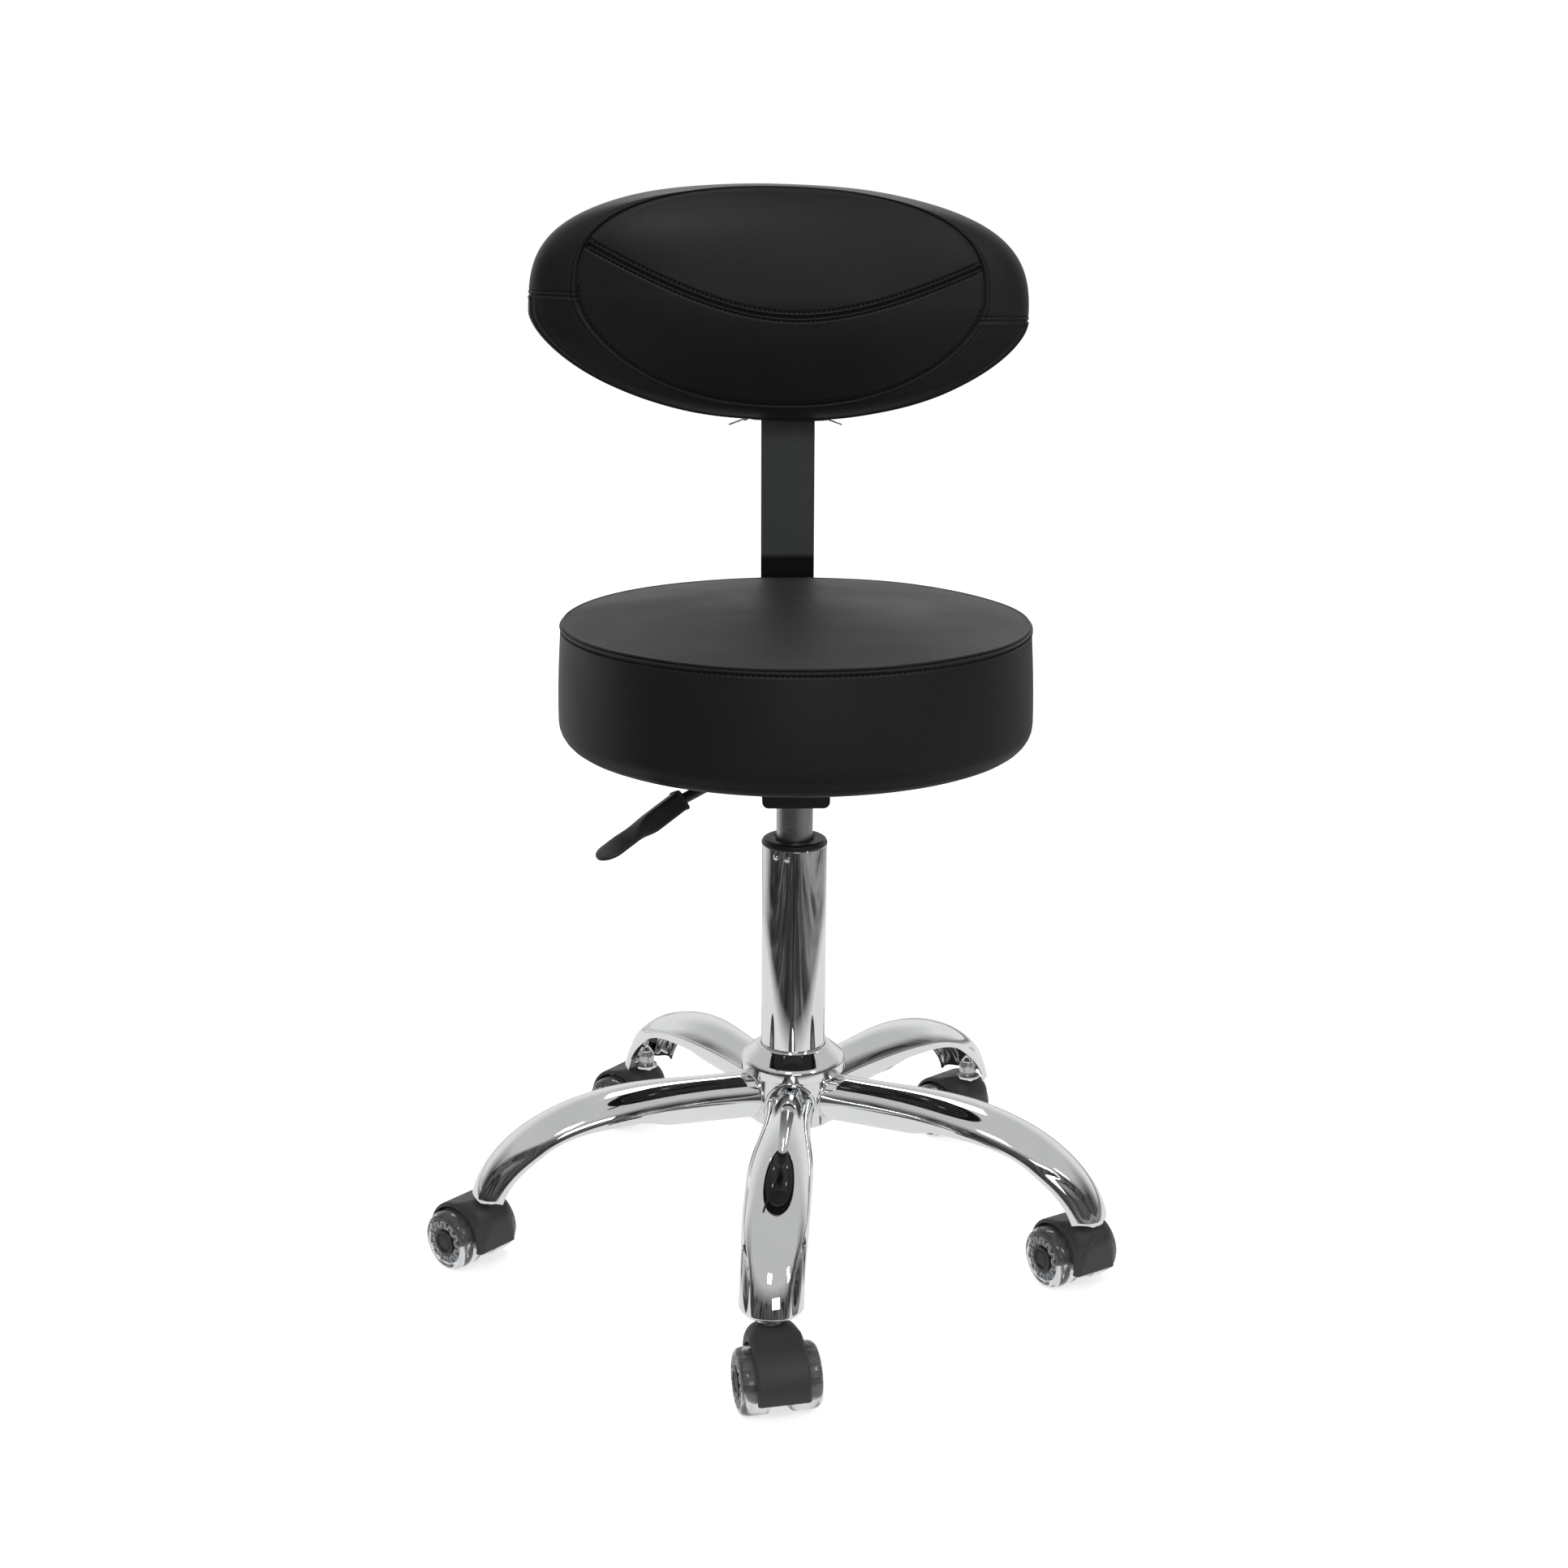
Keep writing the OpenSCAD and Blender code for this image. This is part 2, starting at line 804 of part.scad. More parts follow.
module back_screws() {
    bar_back = bar_pad_y + bar_t / 2;
    color(steel)
    at_pad()
    at_screws() {
        rod(4, board_y0 + 2, board_y0 + board_t);
        rod(6, board_y0 + board_t + 0.1, bar_back);
        rod(4, board_y0 + board_t - 1, board_y0 + board_t + 0.2);
        rod(11, bar_back, bar_back + 2.4);
    }
}

// Outline of the pad at depth ring k, sunk below the outer skin
front_rings = 5;
side_rings = 10;
back_rings = 3;
pad_points = 56;
roll_inset = [57.7, 16.5];  // how far the border draws in at its seams: sideways, up
roll_front = -70.5;  // turn of the border's skin at its front and back seams
roll_back = 66;
function pad_ring_scale(k) =
    k <= front_rings ? k / (front_rings + 1)
    : k <= front_rings + side_rings ? 1
    : (front_rings + side_rings + back_rings + 1 - k) / (back_rings + 1);
function roll_angle(k) = roll_front
    + (roll_back - roll_front) * max(0, min(1, (k - front_rings - 1) / (side_rings - 1)));
function pad_ring_y(k, sink) =
    let (
        half = pad_half_d - sink,
        f = pad_ring_scale(k)
    )
    k <= front_rings ? pad_mid_y + half * sin(roll_front) - pad_crown * (1 - f * f)
    : k <= front_rings + side_rings ? pad_mid_y + half * sin(roll_angle(k))
    : pad_mid_y + half * sin(roll_back) + pad_back_bulge * (1 - f * f);
function pad_point(k, a, sink) =
    let (
        inset = 1 - cos(roll_angle(k)),
        f = pad_ring_scale(k),
        up = sin(a) >= 0,
        p = 2 / (up ? pad_power[1] : pad_power[2]),
        x = (pad_w / 2 - roll_inset[0] * inset - sink) * f,
        z = ((up ? pad_up : pad_down) - roll_inset[1] * inset - sink) * f
    )
    [x * spow(cos(a), 2 / pad_power[0]), pad_ring_y(k, sink), z * spow(sin(a), p)];

module pad_solid(sink) {
    rings = front_rings + side_rings + back_rings;
    m = pad_points;
    points = concat(
        [[0, pad_ring_y(0, sink), 0]],
        [for (k = [1 : rings]) for (i = [0 : m - 1]) pad_point(k, 360 * (i + 0.5) / m, sink)],
        [[0, pad_ring_y(rings + 1, sink), 0]]
    );
    tip = rings * m + 1;
    faces = concat(
        [for (i = [0 : m - 1]) [0, 1 + (i + 1) % m, 1 + i]],
        [for (k = [0 : rings - 2]) for (i = [0 : m - 1])
            for (tri = [
                [1 + k * m + i, 1 + k * m + (i + 1) % m, 1 + (k + 1) * m + i],
                [1 + k * m + (i + 1) % m, 1 + (k + 1) * m + (i + 1) % m, 1 + (k + 1) * m + i]
            ]) tri],
        [for (i = [0 : m - 1]) [tip, 1 + (rings - 1) * m + i, 1 + (rings - 1) * m + (i + 1) % m]]
    );
    polyhedron(points = points, faces = faces);
}

// Room for the bar and its screw heads inside the pad
module bar_room(top_z) {
    corners([-bar_w / 2 - bar_gap, bar_pad_y - bar_t / 2 - 3, pad_z - pad_down - 20],
        [bar_w / 2 + bar_gap, bar_pad_y + bar_t / 2 + 3.5, top_z]);
}

module back_foam() {
    color([0.85, 0.8, 0.6])
    difference() {
        at_pad()
            pad_solid(cover_t);
        bar_room(bar_top_z + bar_gap);
        at_pad()
            board_plate();
    }
}

module back_cover() {
    color(vinyl)
    difference() {
        at_pad()
            pad_solid(0);
        at_pad()
            pad_solid(cover_t);
        bar_room(pad_z);
    }
}

module zip_pulls() {
    color(steel)
    at_pad()
    for (side = [-1, 1])
        translate([side * pull_x - pad_shift, pull_y, -pad_down - 4])
            corners([-pull_w / 2, -1, -5], [pull_w / 2, 1, 4.5]);
}

// ---- casters ---------------------------------------------------------------

caster_turns = [caster_1_turn, caster_2_turn, caster_3_turn, caster_4_turn, caster_5_turn];

// Puts its children on stem i, with +X pointing the way that caster trails
module at_stem(i) {
    rotate([0, 0, leg_azimuth(i)])
    translate([stem_circle_r, 0, 0])
    rotate([0, 0, caster_turns[i - 1] - leg_azimuth(i)])
        children();
}

// Puts its children on the axle, with Z along it and pointing to side s
module at_axle(s) {
    translate([trail, 0, axle_z])
    rotate([-90 * s, 0, 0])
        children();
}

// Side outline of the hood: a fender behind, a blunt nose round the stem
module hood_side(foot) {
    difference() {
        union() {
            translate([trail, axle_z])
                circle(r = hood_out_r);
            translate([nose_x, hood_top_z - nose_r])
                circle(r = nose_r);
            polygon([[trail, axle_z + hood_out_r], [nose_x, hood_top_z],
                [nose_x - nose_r, hood_top_z - nose_r], [nose_foot_x, foot], [trail, foot]]);
        }
        translate([-60, foot - 80])
            square([140, 80]);
    }
}

module caster_hood(i) {
    color(charcoal)
    at_stem(i)
    difference() {
        across(hood_w)
            hood_side(hood_foot_z);
        for (s = [-1, 1])
            at_axle(s)
            translate([0, 0, hood_web / 2])
                cylinder(r = hood_in_r, h = hood_w);
        at_axle(1)
        translate([0, 0, -hood_w])
            cylinder(d = axle_d, h = 2 * hood_w);
        rod(stem_d, stem_foot_z, hood_top_z + eps);
    }
}

module caster_pins(i) {
    color(chrome)
    at_stem(i) {
        rod(stem_d, stem_foot_z, stem_top_z);
        translate([0, 0, stem_top_z])
            cylinder(d1 = stem_d, d2 = stem_d - 5, h = 3);
        rod(flange_d, hood_top_z, hood_top_z + flange_t);
        at_axle(1)
        translate([0, 0, -wheel_in - wheel_w + 3])
            cylinder(d = axle_d, h = 2 * (wheel_in + wheel_w - 3));
    }
}

// Cross-section of a wheel core: a round hub with square teeth
module core_section() {
    circle(r = core_r);
    for (a = [0 : 360 / teeth : 359])
        rotate([0, 0, a])
        translate([core_r - 1, -tooth_w / 2])
            square([tooth_end - core_r + 1, tooth_w]);
}

module caster_core(i, s) {
    color(core_grey)
    at_stem(i)
    at_axle(s)
    translate([0, 0, wheel_in]) {
        difference() {
            linear_extrude(height = wheel_w - 1.5)
                core_section();
            translate([0, 0, -eps])
                cylinder(d = axle_d + 2 * slip, h = wheel_w - 3 + eps + slip);
            translate([0, 0, wheel_w - 4])
                cylinder(r = cap_r, h = 4);
        }
        translate([0, 0, wheel_w - 2.9])
            cylinder(r = cap_r - slip, h = 2.4);
    }
}

// Half section of a tyre with soft outer edges
module tyre_section() {
    r = wheel_d / 2;
    soft = 5;
    polygon(concat(
        [[tooth_r, 0]],
        [for (a = [-90 : 15 : 0]) [r - soft + soft * cos(a), soft + soft * sin(a)]],
        [for (a = [0 : 15 : 90]) [r - soft + soft * cos(a), wheel_w - soft + soft * sin(a)]],
        [[tooth_r, wheel_w]]
    ));
}

module caster_tyre(i, s) {
    color(clear_grey)
    at_stem(i)
    at_axle(s)
    translate([0, 0, wheel_in])
    rotate_extrude()
        tyre_section();
}

base_hub();
base_legs();
caster_sockets();
column_tube();
column_collar();
thrust_bearing();
piston_rod();
rod_clip();
bumper();
gas_cylinder();
release_pin();
swivel_plate();
cone_socket();
lever_rod();
lever_grip();
seat_bolts();
seat_board();
tee_nuts();
seat_foam();
seat_cover();
dust_cover();
bar_guide();
clamp_knob();
back_bar();
back_board();
back_foam();
back_cover();
back_screws();
zip_pulls();
caster_hood(1);  // caster_1_hood
caster_pins(1);  // caster_1_pins
caster_core(1, 1);  // caster_1_core_a
caster_core(1, -1);  // caster_1_core_b
caster_tyre(1, 1);  // caster_1_tyre_a
caster_tyre(1, -1);  // caster_1_tyre_b
caster_hood(2);  // caster_2_hood
caster_pins(2);  // caster_2_pins
caster_core(2, 1);  // caster_2_core_a
caster_core(2, -1);  // caster_2_core_b
caster_tyre(2, 1);  // caster_2_tyre_a
caster_tyre(2, -1);  // caster_2_tyre_b
caster_hood(3);  // caster_3_hood
caster_pins(3);  // caster_3_pins
caster_core(3, 1);  // caster_3_core_a
caster_core(3, -1);  // caster_3_core_b
caster_tyre(3, 1);  // caster_3_tyre_a
caster_tyre(3, -1);  // caster_3_tyre_b
caster_hood(4);  // caster_4_hood
caster_pins(4);  // caster_4_pins
caster_core(4, 1);  // caster_4_core_a
caster_core(4, -1);  // caster_4_core_b
caster_tyre(4, 1);  // caster_4_tyre_a
caster_tyre(4, -1);  // caster_4_tyre_b
caster_hood(5);  // caster_5_hood
caster_pins(5);  // caster_5_pins
caster_core(5, 1);  // caster_5_core_a
caster_core(5, -1);  // caster_5_core_b
caster_tyre(5, 1);  // caster_5_tyre_a
caster_tyre(5, -1);  // caster_5_tyre_b
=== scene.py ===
import bpy
import json
import math
import numpy as np
from mathutils import Matrix, Vector, noise


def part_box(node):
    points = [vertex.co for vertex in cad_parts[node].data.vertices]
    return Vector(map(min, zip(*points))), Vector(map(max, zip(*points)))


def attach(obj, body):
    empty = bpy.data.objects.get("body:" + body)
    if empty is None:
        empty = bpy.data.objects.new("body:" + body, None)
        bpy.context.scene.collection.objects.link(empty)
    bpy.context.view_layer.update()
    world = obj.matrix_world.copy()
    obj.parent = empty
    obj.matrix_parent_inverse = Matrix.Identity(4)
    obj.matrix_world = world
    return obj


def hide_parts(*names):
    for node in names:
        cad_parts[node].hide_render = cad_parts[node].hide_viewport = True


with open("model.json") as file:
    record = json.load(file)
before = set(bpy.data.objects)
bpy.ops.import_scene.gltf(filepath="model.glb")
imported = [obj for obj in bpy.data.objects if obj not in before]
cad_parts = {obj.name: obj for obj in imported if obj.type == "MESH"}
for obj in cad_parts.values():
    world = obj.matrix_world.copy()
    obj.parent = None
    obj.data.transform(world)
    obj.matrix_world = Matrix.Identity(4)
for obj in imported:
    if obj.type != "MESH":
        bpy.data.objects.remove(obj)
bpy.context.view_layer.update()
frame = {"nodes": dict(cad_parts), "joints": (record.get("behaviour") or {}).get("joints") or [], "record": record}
MM = 0.001

# ---------------------------------------------------------------- materials


def new_mat(name, color, rough, metal=0.0, spec=0.5):
    mat = bpy.data.materials.new(name)
    mat.use_nodes = True
    nt = mat.node_tree
    bsdf = nt.nodes["Principled BSDF"]
    bsdf.inputs["Base Color"].default_value = (*color, 1)
    bsdf.inputs["Roughness"].default_value = rough
    bsdf.inputs["Metallic"].default_value = metal
    bsdf.inputs["Specular IOR Level"].default_value = spec
    return mat, nt, bsdf


def coords(nt, scale=(1, 1, 1), shift=(0, 0, 0)):
    tc = nt.nodes.new("ShaderNodeTexCoord")
    mp = nt.nodes.new("ShaderNodeMapping")
    mp.inputs["Scale"].default_value = scale
    mp.inputs["Location"].default_value = shift
    nt.links.new(tc.outputs["Object"], mp.inputs["Vector"])
    return mp.outputs["Vector"]


def xyz(nt, output):
    tc = nt.nodes.new("ShaderNodeTexCoord")
    sep = nt.nodes.new("ShaderNodeSeparateXYZ")
    nt.links.new(tc.outputs[output], sep.inputs["Vector"])
    return sep.outputs["X"], sep.outputs["Y"], sep.outputs["Z"]


def noise_tex(nt, vec, scale, detail=4.0, rough=0.5):
    n = nt.nodes.new("ShaderNodeTexNoise")
    n.inputs["Scale"].default_value = scale
    n.inputs["Detail"].default_value = detail
    n.inputs["Roughness"].default_value = rough
    nt.links.new(vec, n.inputs["Vector"])
    return n.outputs["Fac"]


def voronoi_tex(nt, vec, scale, feature="F1"):
    n = nt.nodes.new("ShaderNodeTexVoronoi")
    n.feature = feature
    n.inputs["Scale"].default_value = scale
    nt.links.new(vec, n.inputs["Vector"])
    return n.outputs["Distance"]


def remap(nt, value, lo, hi, a=0.0, b=1.0):
    m = nt.nodes.new("ShaderNodeMapRange")
    m.inputs["From Min"].default_value = a
    m.inputs["From Max"].default_value = b
    m.inputs["To Min"].default_value = lo
    m.inputs["To Max"].default_value = hi
    nt.links.new(value, m.inputs["Value"])
    return m.outputs["Result"]


def mix_color(nt, fac, a, b):
    m = nt.nodes.new("ShaderNodeMix")
    m.data_type = "RGBA"
    nt.links.new(fac, m.inputs["Factor"])
    for socket, color in ((m.inputs[6], a), (m.inputs[7], b)):
        if isinstance(color, tuple):
            socket.default_value = (*color, 1)
        else:
            nt.links.new(color, socket)
    return m.outputs[2]


def bump(nt, bsdf, height, strength, distance, below=None):
    b = nt.nodes.new("ShaderNodeBump")
    b.inputs["Strength"].default_value = strength
    b.inputs["Distance"].default_value = distance
    nt.links.new(height, b.inputs["Height"])
    if below is not None:
        nt.links.new(below, b.inputs["Normal"])
    nt.links.new(b.outputs["Normal"], bsdf.inputs["Normal"])
    return b.outputs["Normal"]


def edge_wear(nt, radius):
    """1 on sharp edges and 0 on flats, from the difference of bevelled and true normals."""
    bev = nt.nodes.new("ShaderNodeBevel")
    bev.samples = 4
    bev.inputs["Radius"].default_value = radius
    geo = nt.nodes.new("ShaderNodeNewGeometry")
    dot = nt.nodes.new("ShaderNodeVectorMath")
    dot.operation = "DOT_PRODUCT"
    nt.links.new(bev.outputs["Normal"], dot.inputs[0])
    nt.links.new(geo.outputs["Normal"], dot.inputs[1])
    return remap(nt, dot.outputs["Value"], 1.0, 0.0, 0.8, 1.0)


def vinyl_mat(name="vinyl"):
    mat, nt, bsdf = new_mat(name, (0.02, 0.02, 0.02), 0.5)
    vec = coords(nt)
    pebble = voronoi_tex(nt, vec, 900, "SMOOTH_F1")
    fine = noise_tex(nt, vec, 1500, 3)
    broad = noise_tex(nt, vec, 9, 4)
    nt.links.new(mix_color(nt, remap(nt, broad, 0.0, 1.0, 0.3, 0.7),
                           (0.0082, 0.0088, 0.0088), (0.0105, 0.0108, 0.0106)), bsdf.inputs["Base Color"])
    nt.links.new(remap(nt, broad, 0.4, 0.52, 0.3, 0.7), bsdf.inputs["Roughness"])
    # painted shade: the specular level falls to 0.03 on downward-facing faces, a painted shade on the underside, and to
    # half on upward-facing tops, a painted shade on the top
    facing = nt.nodes.new("ShaderNodeSeparateXYZ")
    nt.links.new(nt.nodes.new("ShaderNodeNewGeometry").outputs["Normal"], facing.inputs["Vector"])
    low = remap(nt, facing.outputs["Z"], 0.03, 0.3, -0.6, -0.02)
    high = remap(nt, facing.outputs["Z"], 1.0, 0.5, 0.4, 0.95)
    both = nt.nodes.new("ShaderNodeMath")
    both.operation = "MULTIPLY"
    nt.links.new(low, both.inputs[0])
    nt.links.new(high, both.inputs[1])
    nt.links.new(both.outputs["Value"], bsdf.inputs["Specular IOR Level"])
    n1 = bump(nt, bsdf, pebble, 0.22, 0.0004)
    bump(nt, bsdf, fine, 0.12, 0.0002, n1)
    bsdf.inputs["Sheen Weight"].default_value = 0.03
    bsdf.inputs["Sheen Roughness"].default_value = 0.4
    bsdf.inputs["Sheen Tint"].default_value = (0.9, 0.87, 0.83, 1)
    return mat


def thread_mat():
    mat, nt, bsdf = new_mat("thread", (0.002, 0.002, 0.002), 0.6, 0.0, 0.25)
    w = nt.nodes.new("ShaderNodeTexWave")
    w.inputs["Scale"].default_value = 900
    w.inputs["Distortion"].default_value = 1.0
    nt.links.new(coords(nt), w.inputs["Vector"])
    bump(nt, bsdf, w.outputs["Fac"], 0.5, 0.0002)
    return mat


def chrome_mat():
    mat, nt, bsdf = new_mat("chrome", (0.78, 0.79, 0.8), 0.05, 1.0)
    vec = coords(nt)
    smudge = noise_tex(nt, vec, 22, 5, 0.6)
    nt.links.new(remap(nt, smudge, 0.02, 0.09, 0.35, 0.75), bsdf.inputs["Roughness"])
    nt.links.new(mix_color(nt, remap(nt, smudge, 0, 1, 0.3, 0.7),
                           (0.76, 0.77, 0.78), (0.82, 0.825, 0.83)), bsdf.inputs["Base Color"])
    bump(nt, bsdf, noise_tex(nt, vec, 30, 2), 0.05, 0.0006)
    return mat


def brushed_mat(name="brushed_steel", color=(0.56, 0.56, 0.57), rough=0.3, along=(9, 9, 900)):
    mat, nt, bsdf = new_mat(name, color, rough, 1.0)
    streak = noise_tex(nt, coords(nt, along), 4, 6, 0.65)
    nt.links.new(remap(nt, streak, rough - 0.1, rough + 0.15, 0.3, 0.7), bsdf.inputs["Roughness"])
    bump(nt, bsdf, streak, 0.25, 0.0002)
    bsdf.inputs["Anisotropic"].default_value = 0.5
    return mat


def powder_coat_and_shade_mat():
    mat, nt, bsdf = new_mat("grey_powder_coat", (0.045, 0.05, 0.05), 0.42)
    vec = coords(nt)
    orange = noise_tex(nt, vec, 520, 3)
    broad = noise_tex(nt, vec, 14, 4)
    coat_and_painted_shade = mix_color(nt, edge_wear(nt, 0.0012), (0.029, 0.032, 0.032), (0.06, 0.06, 0.058))
    x, y, z = xyz(nt, "Object")
    nx, ny, nz = xyz(nt, "Normal")
    # painted shade: below z 0.513-0.517 m the bar's front-facing faces are painted near black, with low specular, as
    # shade from the seat's back rim; sides and back keep the coat colour
    outside_painted_shade = remap(nt, z, 0.0, 1.0, 0.513, 0.517)
    side = nt.nodes.new("ShaderNodeMath")
    side.operation = "MAXIMUM"
    nt.links.new(outside_painted_shade, side.inputs[0])
    nt.links.new(remap(nt, ny, 0.0, 1.0, -0.8, -0.3), side.inputs[1])
    outside_painted_shade = side.outputs["Value"]
    coat_and_painted_shade = mix_color(nt, outside_painted_shade, (0.002, 0.0022, 0.0022), coat_and_painted_shade)
    # painted shade and painted reflection: above z 0.606-0.63 m the bar fades to a dark brown band, standing in for the
    # pad's shade and reflection just below it
    coat_and_painted_shade = mix_color(nt, remap(nt, z, 0.0, 1.0, 0.606, 0.63), coat_and_painted_shade, (0.014, 0.013, 0.012))
    nt.links.new(coat_and_painted_shade, bsdf.inputs["Base Color"])
    nt.links.new(remap(nt, broad, 0.4, 0.52, 0.3, 0.7), bsdf.inputs["Roughness"])
    nt.links.new(remap(nt, outside_painted_shade, 0.1, 0.35), bsdf.inputs["Specular IOR Level"])
    bump(nt, bsdf, orange, 0.18, 0.0003)
    return mat


def black_steel_mat():
    mat, nt, bsdf = new_mat("black_steel", (0.012, 0.012, 0.012), 0.34)
    vec = coords(nt)
    nt.links.new(mix_color(nt, edge_wear(nt, 0.001), (0.011, 0.011, 0.012), (0.05, 0.05, 0.05)),
                 bsdf.inputs["Base Color"])
    nt.links.new(remap(nt, noise_tex(nt, vec, 40, 4), 0.26, 0.42, 0.3, 0.7), bsdf.inputs["Roughness"])
    bump(nt, bsdf, noise_tex(nt, vec, 700, 2), 0.1, 0.0002)
    return mat


def plastic_mat(name, color, rough, grain=1400, strength=0.2, wear=1.9):
    mat, nt, bsdf = new_mat(name, color, rough)
    vec = coords(nt)
    lighter = tuple(min(1, c * wear + 0.01 * (wear - 1)) for c in color)
    nt.links.new(mix_color(nt, edge_wear(nt, 0.0008), color, lighter), bsdf.inputs["Base Color"])
    nt.links.new(remap(nt, noise_tex(nt, vec, 30, 4), rough - 0.05, rough + 0.07, 0.3, 0.7),
                 bsdf.inputs["Roughness"])
    bump(nt, bsdf, noise_tex(nt, vec, grain, 2), strength, 0.0002)
    return mat


def clear_tyre_mat():
    mat, nt, bsdf = new_mat("clear_tyre", (0.83, 0.84, 0.85), 0.06)
    bsdf.inputs["Transmission Weight"].default_value = 0.95
    bsdf.inputs["IOR"].default_value = 1.45
    vec = coords(nt)
    nt.links.new(remap(nt, noise_tex(nt, vec, 60, 4), 0.03, 0.12, 0.35, 0.75), bsdf.inputs["Roughness"])
    bump(nt, bsdf, noise_tex(nt, vec, 120, 3), 0.05, 0.0003)
    return mat


def core_mat():
    mat, nt, bsdf = new_mat("wheel_core", (0.36, 0.37, 0.39), 0.3)
    vec = coords(nt)
    face = mix_color(nt, remap(nt, noise_tex(nt, vec, 80, 4), 0, 1, 0.3, 0.7), (0.1, 0.104, 0.11), (0.135, 0.14, 0.148))
    nt.links.new(mix_color(nt, edge_wear(nt, 0.0014), face, (0.2, 0.205, 0.21)), bsdf.inputs["Base Color"])
    bsdf.inputs["Subsurface Weight"].default_value = 0.15
    bsdf.inputs["Subsurface Radius"].default_value = (0.003, 0.003, 0.003)
    bump(nt, bsdf, noise_tex(nt, vec, 500, 2), 0.1, 0.0002)
    return mat


def rubber_mat():
    return plastic_mat("rubber", (0.012, 0.012, 0.012), 0.7, 600, 0.3)


def foam_mat():
    mat, nt, bsdf = new_mat("foam", (0.7, 0.63, 0.42), 0.95)
    vec = coords(nt)
    bump(nt, bsdf, voronoi_tex(nt, vec, 700), 0.8, 0.001)
    return mat


def wood_mat():
    mat, nt, bsdf = new_mat("plywood", (0.5, 0.36, 0.2), 0.6)
    grain = noise_tex(nt, coords(nt, (6, 60, 400)), 3, 6, 0.6)
    nt.links.new(mix_color(nt, remap(nt, grain, 0, 1, 0.3, 0.7), (0.36, 0.25, 0.13), (0.56, 0.42, 0.25)),
                 bsdf.inputs["Base Color"])
    bump(nt, bsdf, grain, 0.3, 0.0004)
    return mat


def cloth_mat():
    mat, nt, bsdf = new_mat("under_cloth", (0.012, 0.012, 0.012), 0.9)
    vec = coords(nt)
    bump(nt, bsdf, noise_tex(nt, vec, 500, 6, 0.8), 0.6, 0.0008)
    bsdf.inputs["Sheen Weight"].default_value = 0.4
    return mat


MATS = {
    "vinyl": vinyl_mat(),
    "thread": thread_mat(),
    "chrome": chrome_mat(),
    "steel": brushed_mat(),
    "grey_bar": powder_coat_and_shade_mat(),
    "black_steel": black_steel_mat(),
    "black_plastic": plastic_mat("black_plastic", (0.014, 0.014, 0.014), 0.38),
    "hood_plastic": plastic_mat("hood_plastic", (0.026, 0.027, 0.028), 0.5, 1800, 0.35),
    "core_plastic": core_mat(),
    "clear_tyre": clear_tyre_mat(),
    "rubber": rubber_mat(),
    "gear_grey": plastic_mat("gear_grey", (0.36, 0.37, 0.385), 0.35, 900, 0.1, 1.0),
    "cap_plastic": plastic_mat("cap_plastic", (0.005, 0.005, 0.005), 0.3, 900, 0.1, 1.0),
    "disc_rubber": plastic_mat("disc_rubber", (0.022, 0.021, 0.02), 0.55, 900, 0.2, 1.0),
    "foam": foam_mat(),
    "plywood": wood_mat(),
    "under_cloth": cloth_mat(),
}

# the record's material slot of each material that only the visual pieces have
SLOTS = {"gear_grey": "core_plastic", "cap_plastic": "black_plastic", "disc_rubber": "rubber", "thread": "vinyl"}

# ---------------------------------------------------------------- mesh helpers


def add_piece(name, verts, faces, body, material, slot=None, smooth=True, sharp=40):
    me = bpy.data.meshes.new(name)
    me.from_pydata([tuple(v) for v in verts], [], faces)
    me.validate()
    me.materials.append(MATS[material])
    if smooth:
        me.polygons.foreach_set("use_smooth", [True] * len(me.polygons))
        me.set_sharp_from_angle(angle=math.radians(sharp))
    ob = bpy.data.objects.new(name, me)
    bpy.context.scene.collection.objects.link(ob)
    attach(ob, body)
    slot or SLOTS.get(material, material)
    return ob


def bevel(ob, width, segments=3, angle=35):
    m = ob.modifiers.new("bevel", "BEVEL")
    m.width = width
    m.segments = segments
    m.limit_method = "ANGLE"
    m.angle_limit = math.radians(angle)
    m.harden_normals = True
    return ob


def loft(rings, cap_start=False, cap_end=False, closed=True):
    """Verts and faces of a skin over rings with equal point counts."""
    m = len(rings[0])
    verts = [p for r in rings for p in r]
    faces = []
    for k in range(len(rings) - 1):
        for i in range(m if closed else m - 1):
            j = (i + 1) % m
            faces.append((k * m + i, k * m + j, (k + 1) * m + j, (k + 1) * m + i))
    if cap_start:
        faces.append(tuple(reversed(range(m))))
    if cap_end:
        base = (len(rings) - 1) * m
        faces.append(tuple(range(base, base + m)))
    return verts, faces


def lathe(profile, steps, place=None):
    """Rings of a profile [(r, z)] turned about Z; place maps a point to its position."""
    rings = []
    for r, z in profile:
        ring = []
        for i in range(steps):
            a = 2 * math.pi * i / steps
            p = Vector((r * math.cos(a), r * math.sin(a), z))
            ring.append(place(p) if place else p)
        rings.append(ring)
    return rings


def joined(parts):
    verts, faces = [], []
    for v, f in parts:
        base = len(verts)
        verts += list(v)
        faces += [tuple(i + base for i in face) for face in f]
    return verts, faces


def smooth01(a, b, v):
    u = min(1.0, max(0.0, (v - a) / (b - a)))
    return u * u * (3 - 2 * u)


def spow(v, p):
    return math.copysign(abs(v) ** p, v)


# ---------------------------------------------------------------- stitches


